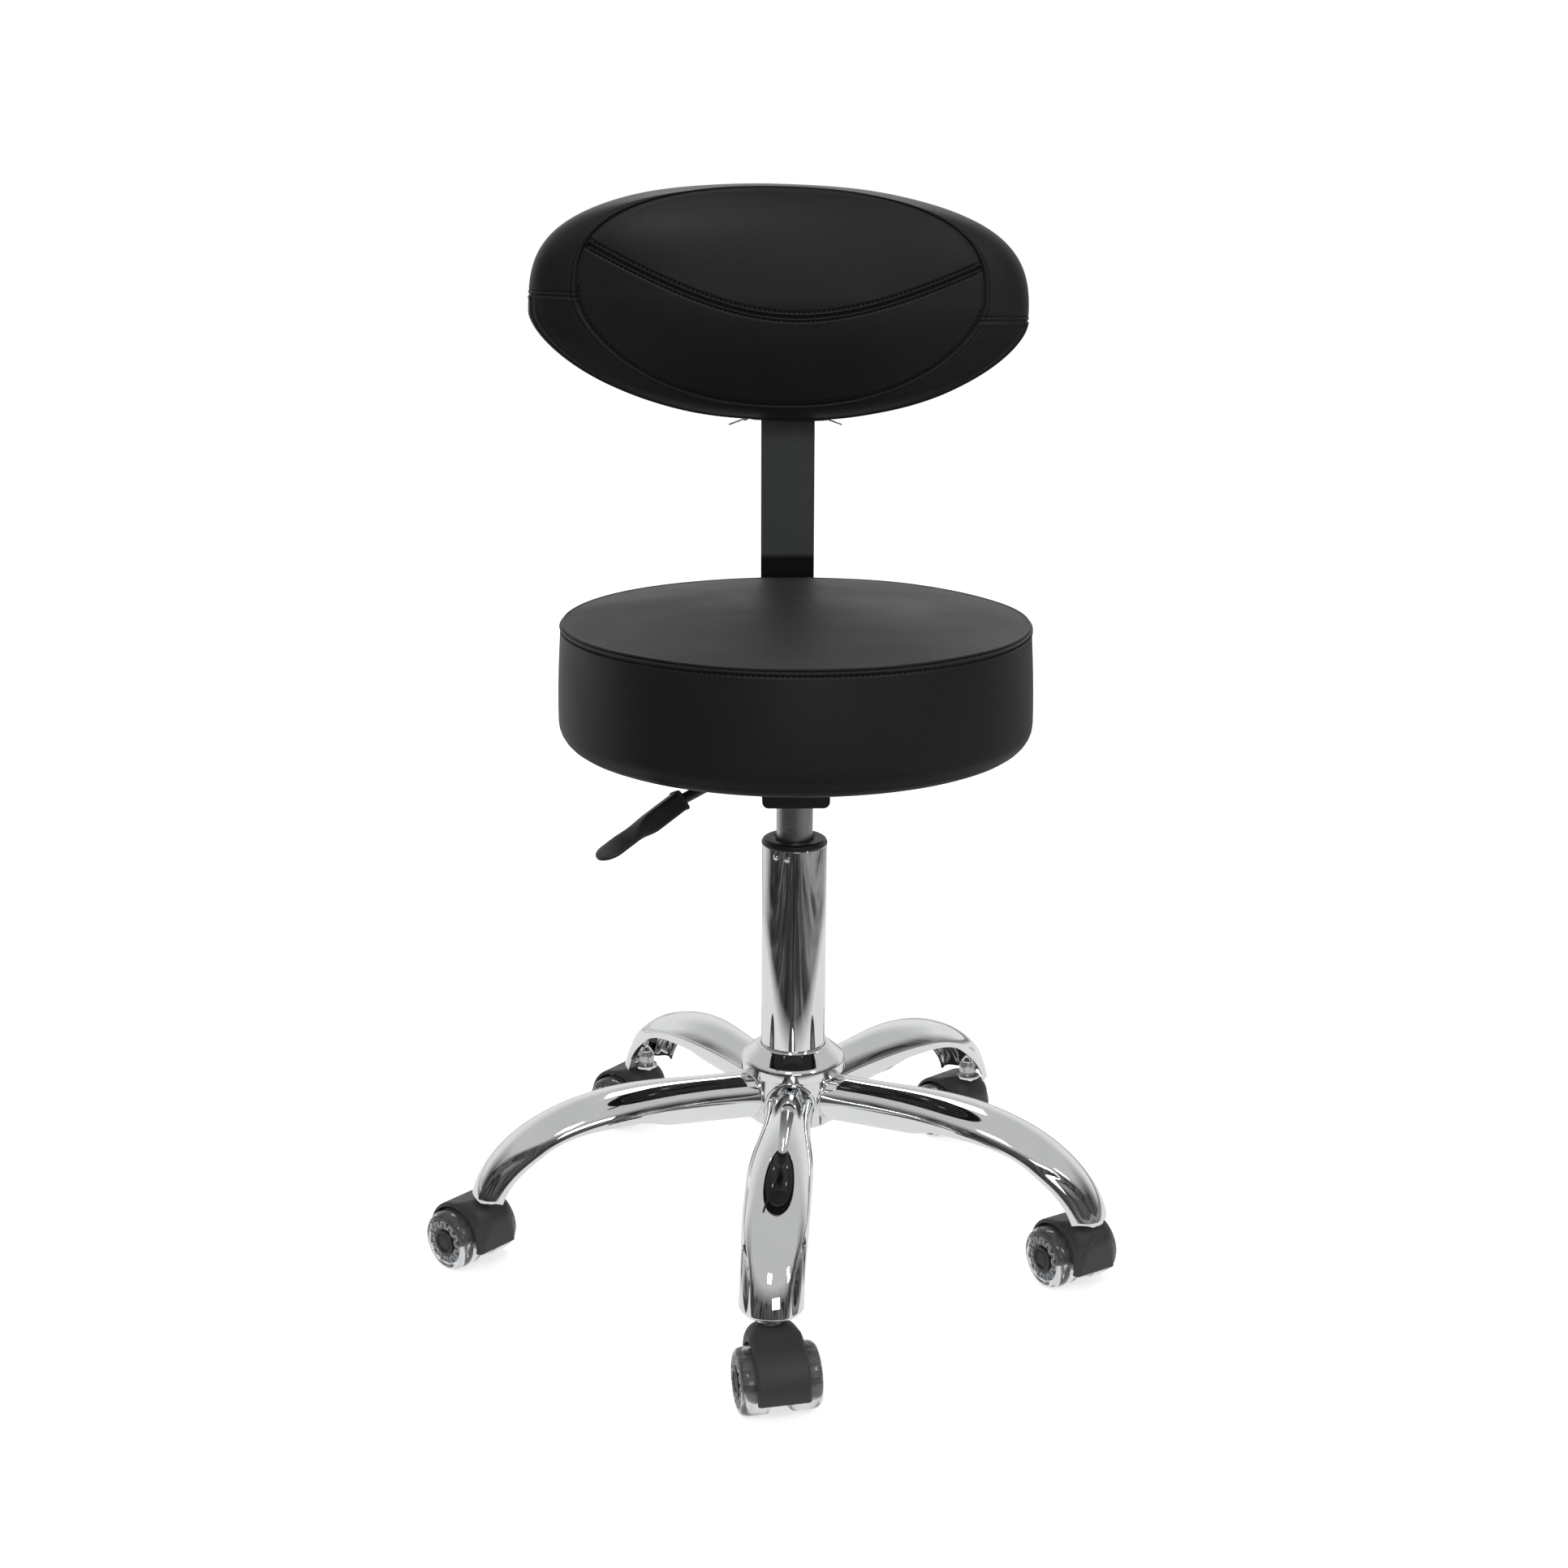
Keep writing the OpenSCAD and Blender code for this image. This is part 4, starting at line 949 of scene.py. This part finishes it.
def leg_shell(leg):
    wall, m = 2 * MM, 44
    us = [i / 16 for i in range(17)] + [1 + (k / 90) ** 1.15 for k in range(1, 91)]
    rings = []
    for u in us:
        w = leg.section(leg.spine(u)[0])[2]
        ring = [leg.point(u, -w + 2 * w * i / m, 0) for i in range(m + 1)]
        lip = math.radians(2.0)
        ring.append(leg.point(u, w + lip, 0.5 * wall))
        ring += [leg.point(u, w - 2 * w * i / m, wall) for i in range(m + 1)]
        ring.append(leg.point(u, -w - lip, 0.5 * wall))
        rings.append(ring)
    n = len(rings[0])
    tip = [(a + b) / 2 for a, b in zip(rings[-1], [rings[-1][(2 * m + 2 - k) % n] for k in range(n)])]
    bulge = leg.spine(2)[2]
    ahead = leg.out * math.cos(bulge) + Vector((0, 0, math.sin(bulge)))
    rings.append([p.lerp(t, 0.55) + ahead * 0.7 * MM for p, t in zip(rings[-1], tip)])
    v, f = loft(rings)
    last = (len(rings) - 1) * n
    for i in range(m):
        f.append((last + i, last + i + 1, last + 2 * m + 1 - i, last + 2 * m + 2 - i))
    return v, f


def weld_bead(leg, seed):
    """Lumpy bead where a leg meets the hub."""
    path = []
    for i in range(72):
        q = 2 * math.pi * i / 72
        path.append(leg.point(0, q, -0.2 * MM))
    rings = []
    for i, p in enumerate(path):
        t = (path[(i + 1) % 72] - path[i - 1]).normalized()
        b = t.cross(leg.out).normalized()
        a = b.cross(t).normalized()
        r = (1.3 + 0.25 * noise.noise(p * 260 + Vector((seed, 0, 0)))) * MM
        rings.append([p + a * (r * math.cos(x)) + b * (r * math.sin(x))
                      for x in (math.radians(36 * k) for k in range(10))])
    rings.append(rings[0])
    return loft(rings)


def make_legs():
    shells, beads = [], []
    for i in range(1, 6):
        leg = Leg(i)
        shells.append(leg_shell(leg))
        beads.append(weld_bead(leg, i))
    v, f = joined(shells)
    legs = add_piece("base_leg_shells", v, f, "base", "chrome", sharp=50)
    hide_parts("base_legs")
    v, f = joined(beads)
    add_piece("leg_weld_beads", v, f, "base", "chrome")


def rounded(profile, radius, steps=4):
    """Profile with each inner corner turned into a small arc."""
    out = [profile[0]]
    for k in range(1, len(profile) - 1):
        a, p, b = (Vector(profile[k + d]) for d in (-1, 0, 1))
        da, db = a - p, b - p
        r = min(radius, da.length * 0.45, db.length * 0.45)
        start, end = p + da.normalized() * r, p + db.normalized() * r
        for i in range(steps + 1):
            u = i / steps
            q = start.lerp(p, u).lerp(p.lerp(end, u), u)
            out.append((q.x, q.y))
    out.append(profile[-1])
    return out


def turned(name, profile, body, material, nodes=(), steps=160, radius=0.8 * MM, place=None, sharp=45):
    """Lathe-turned piece about Z, or about the axis that place gives; its edges are rounded."""
    v, f = loft(lathe(rounded(profile, radius), steps, place))
    ob = add_piece(name, v, f, body, material, sharp=sharp)
    if nodes:
        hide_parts(*nodes)
    return ob


def make_hub():
    lo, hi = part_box("base_hub")
    top, bottom, ring_r = hi.z, lo.z, hi.x
    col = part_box("column_tube")[1].x
    leg_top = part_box("base_legs")[1].z
    low_r = ring_r - 7.5 * MM
    profile = [(col, bottom), (low_r - 1 * MM, bottom), (low_r, bottom + 1.5 * MM), (low_r, leg_top + 0.5 * MM),
               (ring_r, leg_top + 3.2 * MM), (ring_r, top - 12 * MM), (ring_r - 1.5 * MM, top - 9.5 * MM),
               (col + 3.5 * MM, top - 0.6 * MM), (col + 0.4 * MM, top - 0.2 * MM), (col, top - 2 * MM)]
    rings = []
    for r, z in rounded(profile, 1.2 * MM):
        ring = []
        for i in range(240):
            a = 2 * math.pi * i / 240
            flute = 0.22 * MM * math.sin(17 * a + 3 * math.sin(2 * a)) if z < leg_top and r > col + 5 * MM else 0
            ring.append(Vector(((r + flute) * math.cos(a), (r + flute) * math.sin(a), z)))
        rings.append(ring)
    v, f = loft(rings)
    hub = add_piece("hub_shell", v, f, "base", "chrome", sharp=50)
    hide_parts("base_hub")


def make_column():
    lo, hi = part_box("column_tube")
    r = hi.x
    wall = 2 * MM
    turned("column_shell", [(4 * MM, lo.z), (r - 1 * MM, lo.z), (r, lo.z + 1 * MM), (r, hi.z - 0.6 * MM),
                            (r - 0.7 * MM, hi.z), (r - wall, hi.z), (r - wall, hi.z - 20 * MM)],
           "base", "chrome", ("column_tube",), radius=0.5 * MM)
    lo2, hi2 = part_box("column_collar")
    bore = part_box("gas_cylinder")[1].x + 0.3 * MM
    turned("column_collar_ring",
           [(r - wall, hi.z - 10 * MM), (r - wall, hi.z + 0.05 * MM), (r + 0.3 * MM, hi.z + 0.05 * MM),
            (r + 0.3 * MM, hi.z + 1.6 * MM), (r - 0.4 * MM, hi.z + 2.0 * MM), (r - 0.4 * MM, hi2.z - 1.4 * MM),
            (r - 2.2 * MM, hi2.z - 0.2 * MM), (bore + 2.5 * MM, hi2.z - 0.2 * MM), (bore + 1.2 * MM, hi2.z - 1.4 * MM),
            (bore, hi2.z - 1.6 * MM), (bore, lo2.z)],
           "base", "black_plastic", ("column_collar",), radius=0.5 * MM)
    for k, x in enumerate((-15 * MM, -6.5 * MM)):
        a = math.asin(x / r)
        out = Vector((math.sin(a), -math.cos(a), 0))
        c = out * (r - 0.7 * MM) + Vector((0, 0, hi.z - (5.6 + 0.7 * k) * MM))
        up = Vector((0, 0, 1))
        side = out.cross(up)
        place = lambda p, c=c, side=side, out=out: c + side * p.x + Vector((0, 0, 1)) * p.y + out * p.z
        turned(f"crimp_mark_{k + 1}", [(0.05 * MM, 1.9 * MM), (0.9 * MM, 1.7 * MM), (1.6 * MM, 1.1 * MM),
                                       (2.0 * MM, 0.8 * MM), (2.6 * MM, 0.9 * MM), (3.0 * MM, 0)],
               "base", "chrome", steps=40, place=place, radius=0.5 * MM)


def make_cylinder():
    lo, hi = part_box("gas_cylinder")
    r = hi.x
    box_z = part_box("swivel_plate")[0].z
    turned("gas_cylinder_shell", [(r - 2 * MM, lo.z), (r, lo.z + 1 * MM), (r, box_z + 3 * MM),
                                  (r - 0.7 * MM, hi.z - 1 * MM), (r - 2 * MM, hi.z), (5 * MM, hi.z), (5 * MM, hi.z - 9 * MM)],
           "seat", "steel", ("gas_cylinder",), radius=0.6 * MM)


# ---------------------------------------------------------------- lever


class LeverFrame:
    """Directions of the lever: out along it, side across it, and points at a radius and height."""

    def __init__(self):
        pos = Vector(joint("lever_lift")["pos_m"])
        self.out = Vector((pos.x, pos.y, 0)).normalized()
        self.side = Vector((-self.out.y, self.out.x, 0))
        self.pivot = pos

    def at(self, r, z, y=0.0):
        return self.out * r + self.side * y + Vector((0, 0, z))


def make_lever_grip():
    """Boxy socket that flows into a thin, slightly twisted paddle."""
    fr = LeverFrame()
    slope = math.radians(20)
    grip_len = 83 * MM
    start_r = 121.5 * MM
    z0 = fr.pivot.z - 12 * MM
    along = fr.out * math.cos(slope) - Vector((0, 0, math.sin(slope)))
    lift = fr.out * math.sin(slope) + Vector((0, 0, math.cos(slope)))
    origin = fr.at(start_r, z0)
    rings = []
    for k in range(0, 84):
        x = grip_len * k / 83
        u = x / grip_len
        neck = smooth01(0.36, 0.72, u)
        half_w = (6.6 + 4.6 * smooth01(0.38, 0.7, u)) * MM
        half_h = (7.4 * (1 - neck) + 2.3 * neck) * MM
        top = (7.4 * (1 - 0.45 * neck)) * MM
        bottom = top - 2 * half_h
        end = math.sqrt(max(0.0, 1 - (max(0.0, u - 0.84) / 0.16) ** 2.2))
        half_w *= max(0.12, end)
        squeeze = 0.35 + 0.65 * max(0.12, end)
        mid, half = (top + bottom) / 2, (top - bottom) / 2 * squeeze
        if x < 1.6 * MM:
            half_w += 0.7 * MM
            half += 0.7 * MM
        roll = math.radians(24 * (1 - neck) + 4 * neck)
        power = 0.34 + 0.3 * neck
        ring = []
        for i in range(48):
            a = 2 * math.pi * i / 48
            y, h = half_w * spow(math.cos(a), power), mid + half * spow(math.sin(a), power)
            dimple = math.exp(-(((x - 26 * MM) / (2.2 * MM)) ** 2 + ((h - mid) / (1.6 * MM)) ** 2))
            y -= 0.9 * MM * dimple * (1 if math.cos(a) > 0.5 else 0)
            yy = y * math.cos(roll) - h * math.sin(roll)
            hh = y * math.sin(roll) + h * math.cos(roll)
            ring.append(origin + along * x + fr.side * yy + lift * hh)
        rings.append(ring)
    mouth = [p.lerp(origin, 0.4) + along * 0.2 * MM for p in rings[0]]
    bore = [p.lerp(origin + along * 3 * MM, 0.42) for p in mouth]
    v, f = loft([bore, mouth] + rings, True, True)
    grip = add_piece("lever_grip_shell", v, f, "lever", "black_plastic", sharp=38)
    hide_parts("lever_grip")


# ---------------------------------------------------------------- casters


class CasterFrame:
    """Local frame of one caster: x the way it trails, y along the axle, z up from the floor."""

    def __init__(self, i):
        stem, axle = stem_place(i), Vector(joint(f"caster_{i}_spin_a")["pos_m"])
        self.stem = Vector((stem.x, stem.y, 0))
        self.x = Vector((axle.x - stem.x, axle.y - stem.y, 0))
        self.trail = self.x.length
        self.x.normalize()
        self.y = Vector((-self.x.y, self.x.x, 0))
        self.axle_z = axle.z
        self.body = f"caster_{i}"

    def at(self, x, y, z):
        return self.stem + self.x * x + self.y * y + Vector((0, 0, z))

    def wheel(self, side):
        """Maps a turned profile (r about the axle, z outward) to the wheel on that side."""
        def place(p):
            return self.at(self.trail + p.x, side * p.z, self.axle_z + p.y)
        return place


def fix_turn(ob, flip):
    if flip:
        ob.data.flip_normals()


WHEEL_IN, WHEEL_W = 6 * MM, 22.5 * MM


def gear_path():
    """Outline of the wheel's eleven square teeth, as (r, angle) corners."""
    low, high, teeth = 12.2 * MM, 16.5 * MM, 11
    out = []
    for k in range(teeth):
        for share, r in ((0.0, low), (0.3, low), (0.4, high), (0.5, high), (0.8, high), (0.9, low)):
            out.append((r, 2 * math.pi * (k + share) / teeth))
    return out


def make_gear_ring(place, name, body, face):
    """Thin raised wall that follows the teeth on the outer face of a wheel."""
    path = [Vector((r * math.cos(a), r * math.sin(a))) for r, a in gear_path()]
    n = len(path)
    rings = []
    for k, p in enumerate(path):
        t = (path[(k + 1) % n] - path[k - 1]).normalized()
        b = Vector((t.y, -t.x)) * 0.6 * MM
        ring = []
        for side, z in ((-1, -1.6), (-1, 0.95), (-0.6, 1.2), (0.6, 1.2), (1, 0.95), (1, -1.6)):
            q = p + b * side
            ring.append(place(Vector((q.x, q.y, face + z * MM))))
        rings.append(ring)
    rings.append(rings[0])
    v, f = loft(rings)
    add_piece(name, v, f, body, "gear_grey", sharp=35)


def make_wheel(fr, i, side, mark):
    tyre_r = fr.axle_z
    band_r, body = 17.2 * MM, f"caster_{i}_wheel_{mark}"
    place = fr.wheel(side)
    z0, z1 = WHEEL_IN, WHEEL_IN + WHEEL_W
    inside, outside = 4.5 * MM, 8.5 * MM
    profile = [(band_r, z0 + 0.4 * MM), (tyre_r - inside, z0 + 0.2 * MM)]
    profile += [(tyre_r - inside * (1 - math.cos(a)), z0 + inside * (1 + math.sin(a)) + 0.2 * MM)
                for a in (math.radians(-90 + 10 * k) for k in range(1, 10))]
    profile += [(tyre_r - 0.35 * outside * (1 - math.cos(a)) - 0.3 * outside * (1 - math.cos(a)) ** 2,
                 z1 - outside * (1 - math.sin(a))) for a in (math.radians(7.5 * k) for k in range(0, 12))]
    profile += [(band_r + 0.5 * MM, z1), (band_r, z1 - 0.6 * MM), (band_r, z0 + 0.4 * MM)]
    v, f = loft(lathe(profile, 96, place))
    tyre = add_piece(f"caster_{i}_tyre_ring_{mark}", v, f, body, "clear_tyre", sharp=50)
    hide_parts(f"caster_{i}_tyre_{mark}")
    fix_turn(tyre, side > 0)
    face = z1 - 0.5 * MM
    make_gear_ring(place, f"caster_{i}_gear_ring_{mark}", body, z1 - 1.0 * MM)
    turned(f"caster_{i}_cap_{mark}",
           [(9.9 * MM, face - 2.2 * MM), (9.9 * MM, face + 0.5 * MM), (9.2 * MM, face + 1.3 * MM),
            (7.6 * MM, face + 1.3 * MM), (7.1 * MM, face + 0.1 * MM), (5.6 * MM, face + 0.1 * MM)],
           body, "cap_plastic", steps=56, place=place, radius=0.3 * MM)
    turned(f"caster_{i}_hub_disc_{mark}",
           [(6.5 * MM, face - 0.6 * MM), (6.3 * MM, face + 0.4 * MM), (5.2 * MM, face + 0.95 * MM),
            (2.2 * MM, face + 1.1 * MM), (0.05 * MM, face + 1.1 * MM)],
           body, "disc_rubber", steps=48, place=place, radius=0.4 * MM)


class HoodShape:
    """Side profile of a hood: the fender round the wheels, then the blunt nose round the stem."""

    def __init__(self, fr, i):
        lo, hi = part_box(f"caster_{i}_hood")
        self.foot, self.top = lo.z, hi.z
        self.axle = Vector((fr.trail, fr.axle_z))
        self.wall = 2 * MM
        self.outer = fr.axle_z + 4.8 * MM
        self.inner = self.outer - self.wall
        self.half = 18.7 * MM
        self.nose_r, self.nose_x, self.foot_x = 16 * MM, 4 * MM, -9.5 * MM

    def arc_end(self, r):
        return math.asin((self.foot - self.axle.y) / r)

    def outer_line(self):
        a0 = self.arc_end(self.outer)
        nose = Vector((self.nose_x, self.top - self.nose_r))
        gap = nose - self.axle
        tilt = math.acos((self.outer - self.nose_r) / gap.length)
        a1 = math.atan2(gap.y, gap.x) - tilt
        pts = [self.axle + Vector((math.cos(a), math.sin(a))) * self.outer
               for a in (a0 + (a1 - a0) * k / 40 for k in range(41))]
        low = Vector((self.foot_x, self.foot))
        pts += [nose + Vector((math.cos(a), math.sin(a))) * self.nose_r
                for a in (a1 + (math.pi - a1) * k / 30 for k in range(31))]
        pts += [pts[-1].lerp(low, k / 26) for k in range(1, 27)]
        return even_line(np.array([tuple(p) for p in pts]), 0.8 * MM)[1]


def arch_height(z, y, foot):
    """Raised arch on the nose: full width at its foot, round at its head."""
    head, spring = 47 * MM, 27 * MM
    if z > head:
        return 0.0
    w = 15.8 * MM * math.sqrt(max(0.0, 1 - (max(0.0, z - spring) / (head - spring)) ** 2))
    edge = min(w - abs(y), (head - z) * 0.8, z - foot - 0.6 * MM)
    return 0.9 * MM * smooth01(-0.2 * MM, 0.9 * MM, edge)


def make_hood(fr, i):
    """Moulded hood: a rounded shell over both wheels with a web between them."""
    shape = HoodShape(fr, i)
    line = shape.outer_line()
    tangent = np.gradient(line, axis=0)
    tangent /= np.hypot(*tangent.T)[:, None]
    normal = np.stack([tangent[:, 1], -tangent[:, 0]], 1)
    n, m = len(line), 60
    a0, a1 = shape.arc_end(shape.inner), math.pi - shape.arc_end(shape.inner)
    rings = []
    for k in range(n):
        (x, z), (nx, nz) = line[k], normal[k]
        a = a0 + (a1 - a0) * k / (n - 1)
        q = shape.axle + Vector((math.cos(a), math.sin(a))) * shape.inner
        thick = math.hypot(q.x - x, q.y - z)
        near_nose = smooth01(18 * MM, 3 * MM, x)
        soft = 3.0 * MM + 9.5 * MM * near_nose * smooth01(shape.foot, shape.foot + 22 * MM, z)
        fall = min(soft * 0.9, thick * 0.8)
        ring = []
        for j in range(m + 1):
            y = -shape.half * math.cos(math.pi * j / m) if j in (0, m) else shape.half * (2 * j / m - 1)
            over = max(0.0, abs(y) - (shape.half - soft)) / soft
            drop = fall * (1 - math.sqrt(max(0.0, 1 - over * over)))
            if nx < -0.25:
                drop -= arch_height(z, y, shape.foot)
            ring.append(fr.at(x - nx * drop, y, z - nz * drop))
        ring += [fr.at(q.x, shape.half * (1 - 2 * j / 8), q.y) for j in range(9)]
        rings.append(ring)
    v, f = loft(rings, True, True)
    half_web = 4 * MM
    web = []
    for y, inset in ((-half_web, 0.6 * MM), (-half_web + 0.6 * MM, 0), (half_web - 0.6 * MM, 0), (half_web, 0.6 * MM)):
        r = shape.inner + 0.4 * MM - inset
        b = shape.arc_end(r)
        web.append([fr.at(shape.axle.x + r * math.cos(c), y, shape.axle.y + r * math.sin(c))
                    for c in (b + (math.pi - 2 * b) * k / 40 for k in range(41))])
    wv, wf = loft(web, True, True)
    v, f = joined([(v, f), (wv, wf)])
    hood = add_piece(f"caster_{i}_hood_shell", v, f, fr.body, "hood_plastic", sharp=50)
    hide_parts(f"caster_{i}_hood")


def make_casters():
    for i in range(1, 6):
        fr = CasterFrame(i)
        for side, mark in ((1, "a"), (-1, "b")):
            make_wheel(fr, i, side, mark)
        make_hood(fr, i)


# ---------------------------------------------------------------- carried-over nodes

BEVELS = {"back_bar": 0.9, "swivel_plate": 1.2, "bar_guide": 0.8, "clamp_knob": 0.9, "seat_bolts": 0.6,
          "caster_sockets": 0.5, "back_screws": 0.4}


def finish_nodes():
    for part in frame["record"]["subparts"]:
        ob = frame["nodes"][part["node"]]
        ob.data.materials.clear()
        ob.data.materials.append(MATS[part["material_slot"]])
        name = part["node"]
        if name in BEVELS:
            bevel(ob, BEVELS[name] * MM)
        if name.endswith("_hood"):
            bevel(ob, 1.1 * MM, 3, 45)
        if "_core_" in name:
            bevel(ob, 0.35 * MM, 2, 45)


# ---------------------------------------------------------------- stage


def light(name, place, aim, size, power, color=(1, 1, 1)):
    data = bpy.data.lights.new(name, "AREA")
    data.shape = "RECTANGLE"
    data.size, data.size_y = size
    data.energy = power
    data.color = color
    ob = bpy.data.objects.new(name, data)
    ob.location = place
    ob.rotation_euler = (Vector(aim) - Vector(place)).to_track_quat("-Z", "Y").to_euler()
    bpy.context.scene.collection.objects.link(ob)
    return ob


def ray_kind(nt):
    """Factors that are 1 for what the camera sees directly, and for mirror rays."""
    path = nt.nodes.new("ShaderNodeLightPath")
    top = nt.nodes.new("ShaderNodeMath")
    top.operation = "MAXIMUM"
    nt.links.new(path.outputs["Is Camera Ray"], top.inputs[0])
    nt.links.new(path.outputs["Is Transmission Ray"], top.inputs[1])
    return top.outputs["Value"], path.outputs["Is Glossy Ray"]


def mix_shader(nt, fac, a, b):
    m = nt.nodes.new("ShaderNodeMixShader")
    nt.links.new(fac, m.inputs[0])
    nt.links.new(a, m.inputs[1])
    nt.links.new(b, m.inputs[2])
    return m.outputs["Shader"]


def glow(nt, strength, color=None):
    e = nt.nodes.new("ShaderNodeEmission")
    e.inputs["Strength"].default_value = strength
    if color is not None:
        nt.links.new(color, e.inputs["Color"])
    return e.outputs["Emission"]


def make_floor():
    """Pale floor; to mirror rays its part in front of the object is the dark studio floor."""
    mat, nt, bsdf = new_mat("studio_floor", (0.93, 0.93, 0.93), 0.8)
    speck = noise_tex(nt, coords(nt), 3, 3)
    nt.links.new(mix_color(nt, speck, (0.925, 0.925, 0.925), (0.935, 0.935, 0.935)), bsdf.inputs["Base Color"])
    seen, mirror = ray_kind(nt)
    add = nt.nodes.new("ShaderNodeAddShader")
    nt.links.new(bsdf.outputs["BSDF"], add.inputs[0])
    nt.links.new(glow(nt, 0.6), add.inputs[1])
    x, y, z = xyz(nt, "Object")
    far = nt.nodes.new("ShaderNodeVectorMath")
    far.operation = "LENGTH"
    nt.links.new(coords(nt, (0.85, 1, 1), (0, -0.22, 0)), far.inputs[0])
    near = remap(nt, far.outputs["Value"], 1.0, 0.0, 0.56, 0.7)
    room = mix_color(nt, remap(nt, y, 0.0, 1.0, 0.0, 0.7), (0.045, 0.046, 0.048), (0.8, 0.8, 0.8))
    room = mix_color(nt, remap(nt, x, 0.0, 1.0, 0.3, 1.0), room, (0.3, 0.3, 0.3))
    streaks = noise_tex(nt, coords(nt, (5, 1.2, 1)), 1.0, 4, 0.6)
    room = mix_color(nt, remap(nt, streaks, 0.0, 0.35, 0.52, 0.66), room, (0.5, 0.5, 0.5))
    room = mix_color(nt, remap(nt, streaks, 0.0, 0.8, 0.5, 0.36), room, (0.012, 0.012, 0.012))
    shade = mix_color(nt, near, room, (0.85, 0.85, 0.85))
    lit = mix_shader(nt, seen, bsdf.outputs["BSDF"], add.outputs["Shader"])
    out = nt.nodes["Material Output"]
    nt.links.new(mix_shader(nt, mirror, lit, glow(nt, 1.0, shade)), out.inputs["Surface"])
    me = bpy.data.meshes.new("floor")
    me.from_pydata([(-30, -30, 0), (30, -30, 0), (30, 30, 0), (-30, 30, 0)], [], [(0, 1, 2, 3)])
    me.materials.append(mat)
    floor = bpy.data.objects.new("floor", me)
    bpy.context.scene.collection.objects.link(floor)


def tc_scaled(nt, scale):
    tc = nt.nodes.new("ShaderNodeTexCoord")
    mp = nt.nodes.new("ShaderNodeMapping")
    mp.inputs["Scale"].default_value = scale
    nt.links.new(tc.outputs["Generated"], mp.inputs["Vector"])
    return mp.outputs["Vector"]


def make_world():
    """White backdrop; mirror rays see a dark room in front and pale walls at the sides and back."""
    world = bpy.data.worlds.new("studio")
    world.use_nodes = True
    nt = world.node_tree
    x, y, z = xyz(nt, "Generated")
    streaks = noise_tex(nt, tc_scaled(nt, (7, 7, 0.6)), 1.6, 3)
    walls = mix_color(nt, remap(nt, streaks, 0.0, 1.0, 0.4, 0.65), (0.03, 0.03, 0.032), (0.16, 0.16, 0.16))
    back = remap(nt, y, 0.0, 1.0, 0.15, 0.6)
    room = mix_color(nt, back, walls, (0.85, 0.85, 0.85))
    room = mix_color(nt, remap(nt, z, 0.0, 1.0, 0.3, 0.6), room, (0.6, 0.6, 0.6))
    seen, mirror = ray_kind(nt)
    plain = nt.nodes.new("ShaderNodeBackground")
    plain.inputs["Color"].default_value = (0.55, 0.55, 0.55, 1)
    white = nt.nodes.new("ShaderNodeBackground")
    white.inputs["Color"].default_value = (1.02, 1.02, 1.02, 1)
    dark = nt.nodes.new("ShaderNodeBackground")
    nt.links.new(room, dark.inputs["Color"])
    first = mix_shader(nt, seen, plain.outputs[0], white.outputs[0])
    nt.links.new(mix_shader(nt, mirror, first, dark.outputs[0]), nt.nodes["World Output"].inputs["Surface"])
    bpy.context.scene.world = world


def make_lights():
    light("key", (-0.55, -2.3, 2.2), (0, 0, 0.5), (0.5, 0.5), 12)
    light("front", (0.3, -2.7, 0.95), (0, 0, 0.6), (0.9, 0.6), 6)
    light("fill", (1.7, -1.6, 1.7), (0, 0, 0.5), (0.3, 0.6), 8)
    light("top", (0.1, 1.6, 2.4), (0, 0, 0.6), (1.6, 0.8), 22)


def make_camera():
    data = bpy.data.cameras.new("camera")
    data.sensor_width = 36
    data.lens = 50.41
    data.shift_x = 0.0170
    data.shift_y = -0.0223
    data.clip_start = 0.05
    ob = bpy.data.objects.new("camera", data)
    heading, pitch, roll = 0.0197, 0.2544, 0.0026
    place = Matrix.Translation((-0.0603, -1.6085, 0.8188))
    turn = Matrix.Rotation(-heading, 4, "Z") @ Matrix.Rotation(math.pi / 2 - pitch, 4, "X") @ Matrix.Rotation(roll, 4, "Z")
    ob.matrix_world = place @ turn
    bpy.context.scene.collection.objects.link(ob)
    bpy.context.scene.camera = ob


# ---------------------------------------------------------------- build

finish_nodes()
make_seat()
make_pad()
make_zip_pulls()
make_legs()
make_hub()
make_column()
make_cylinder()
make_lever_grip()
make_casters()
make_floor()
make_world()
make_lights()
make_camera()
bpy.context.scene.view_settings.view_transform = "Standard"
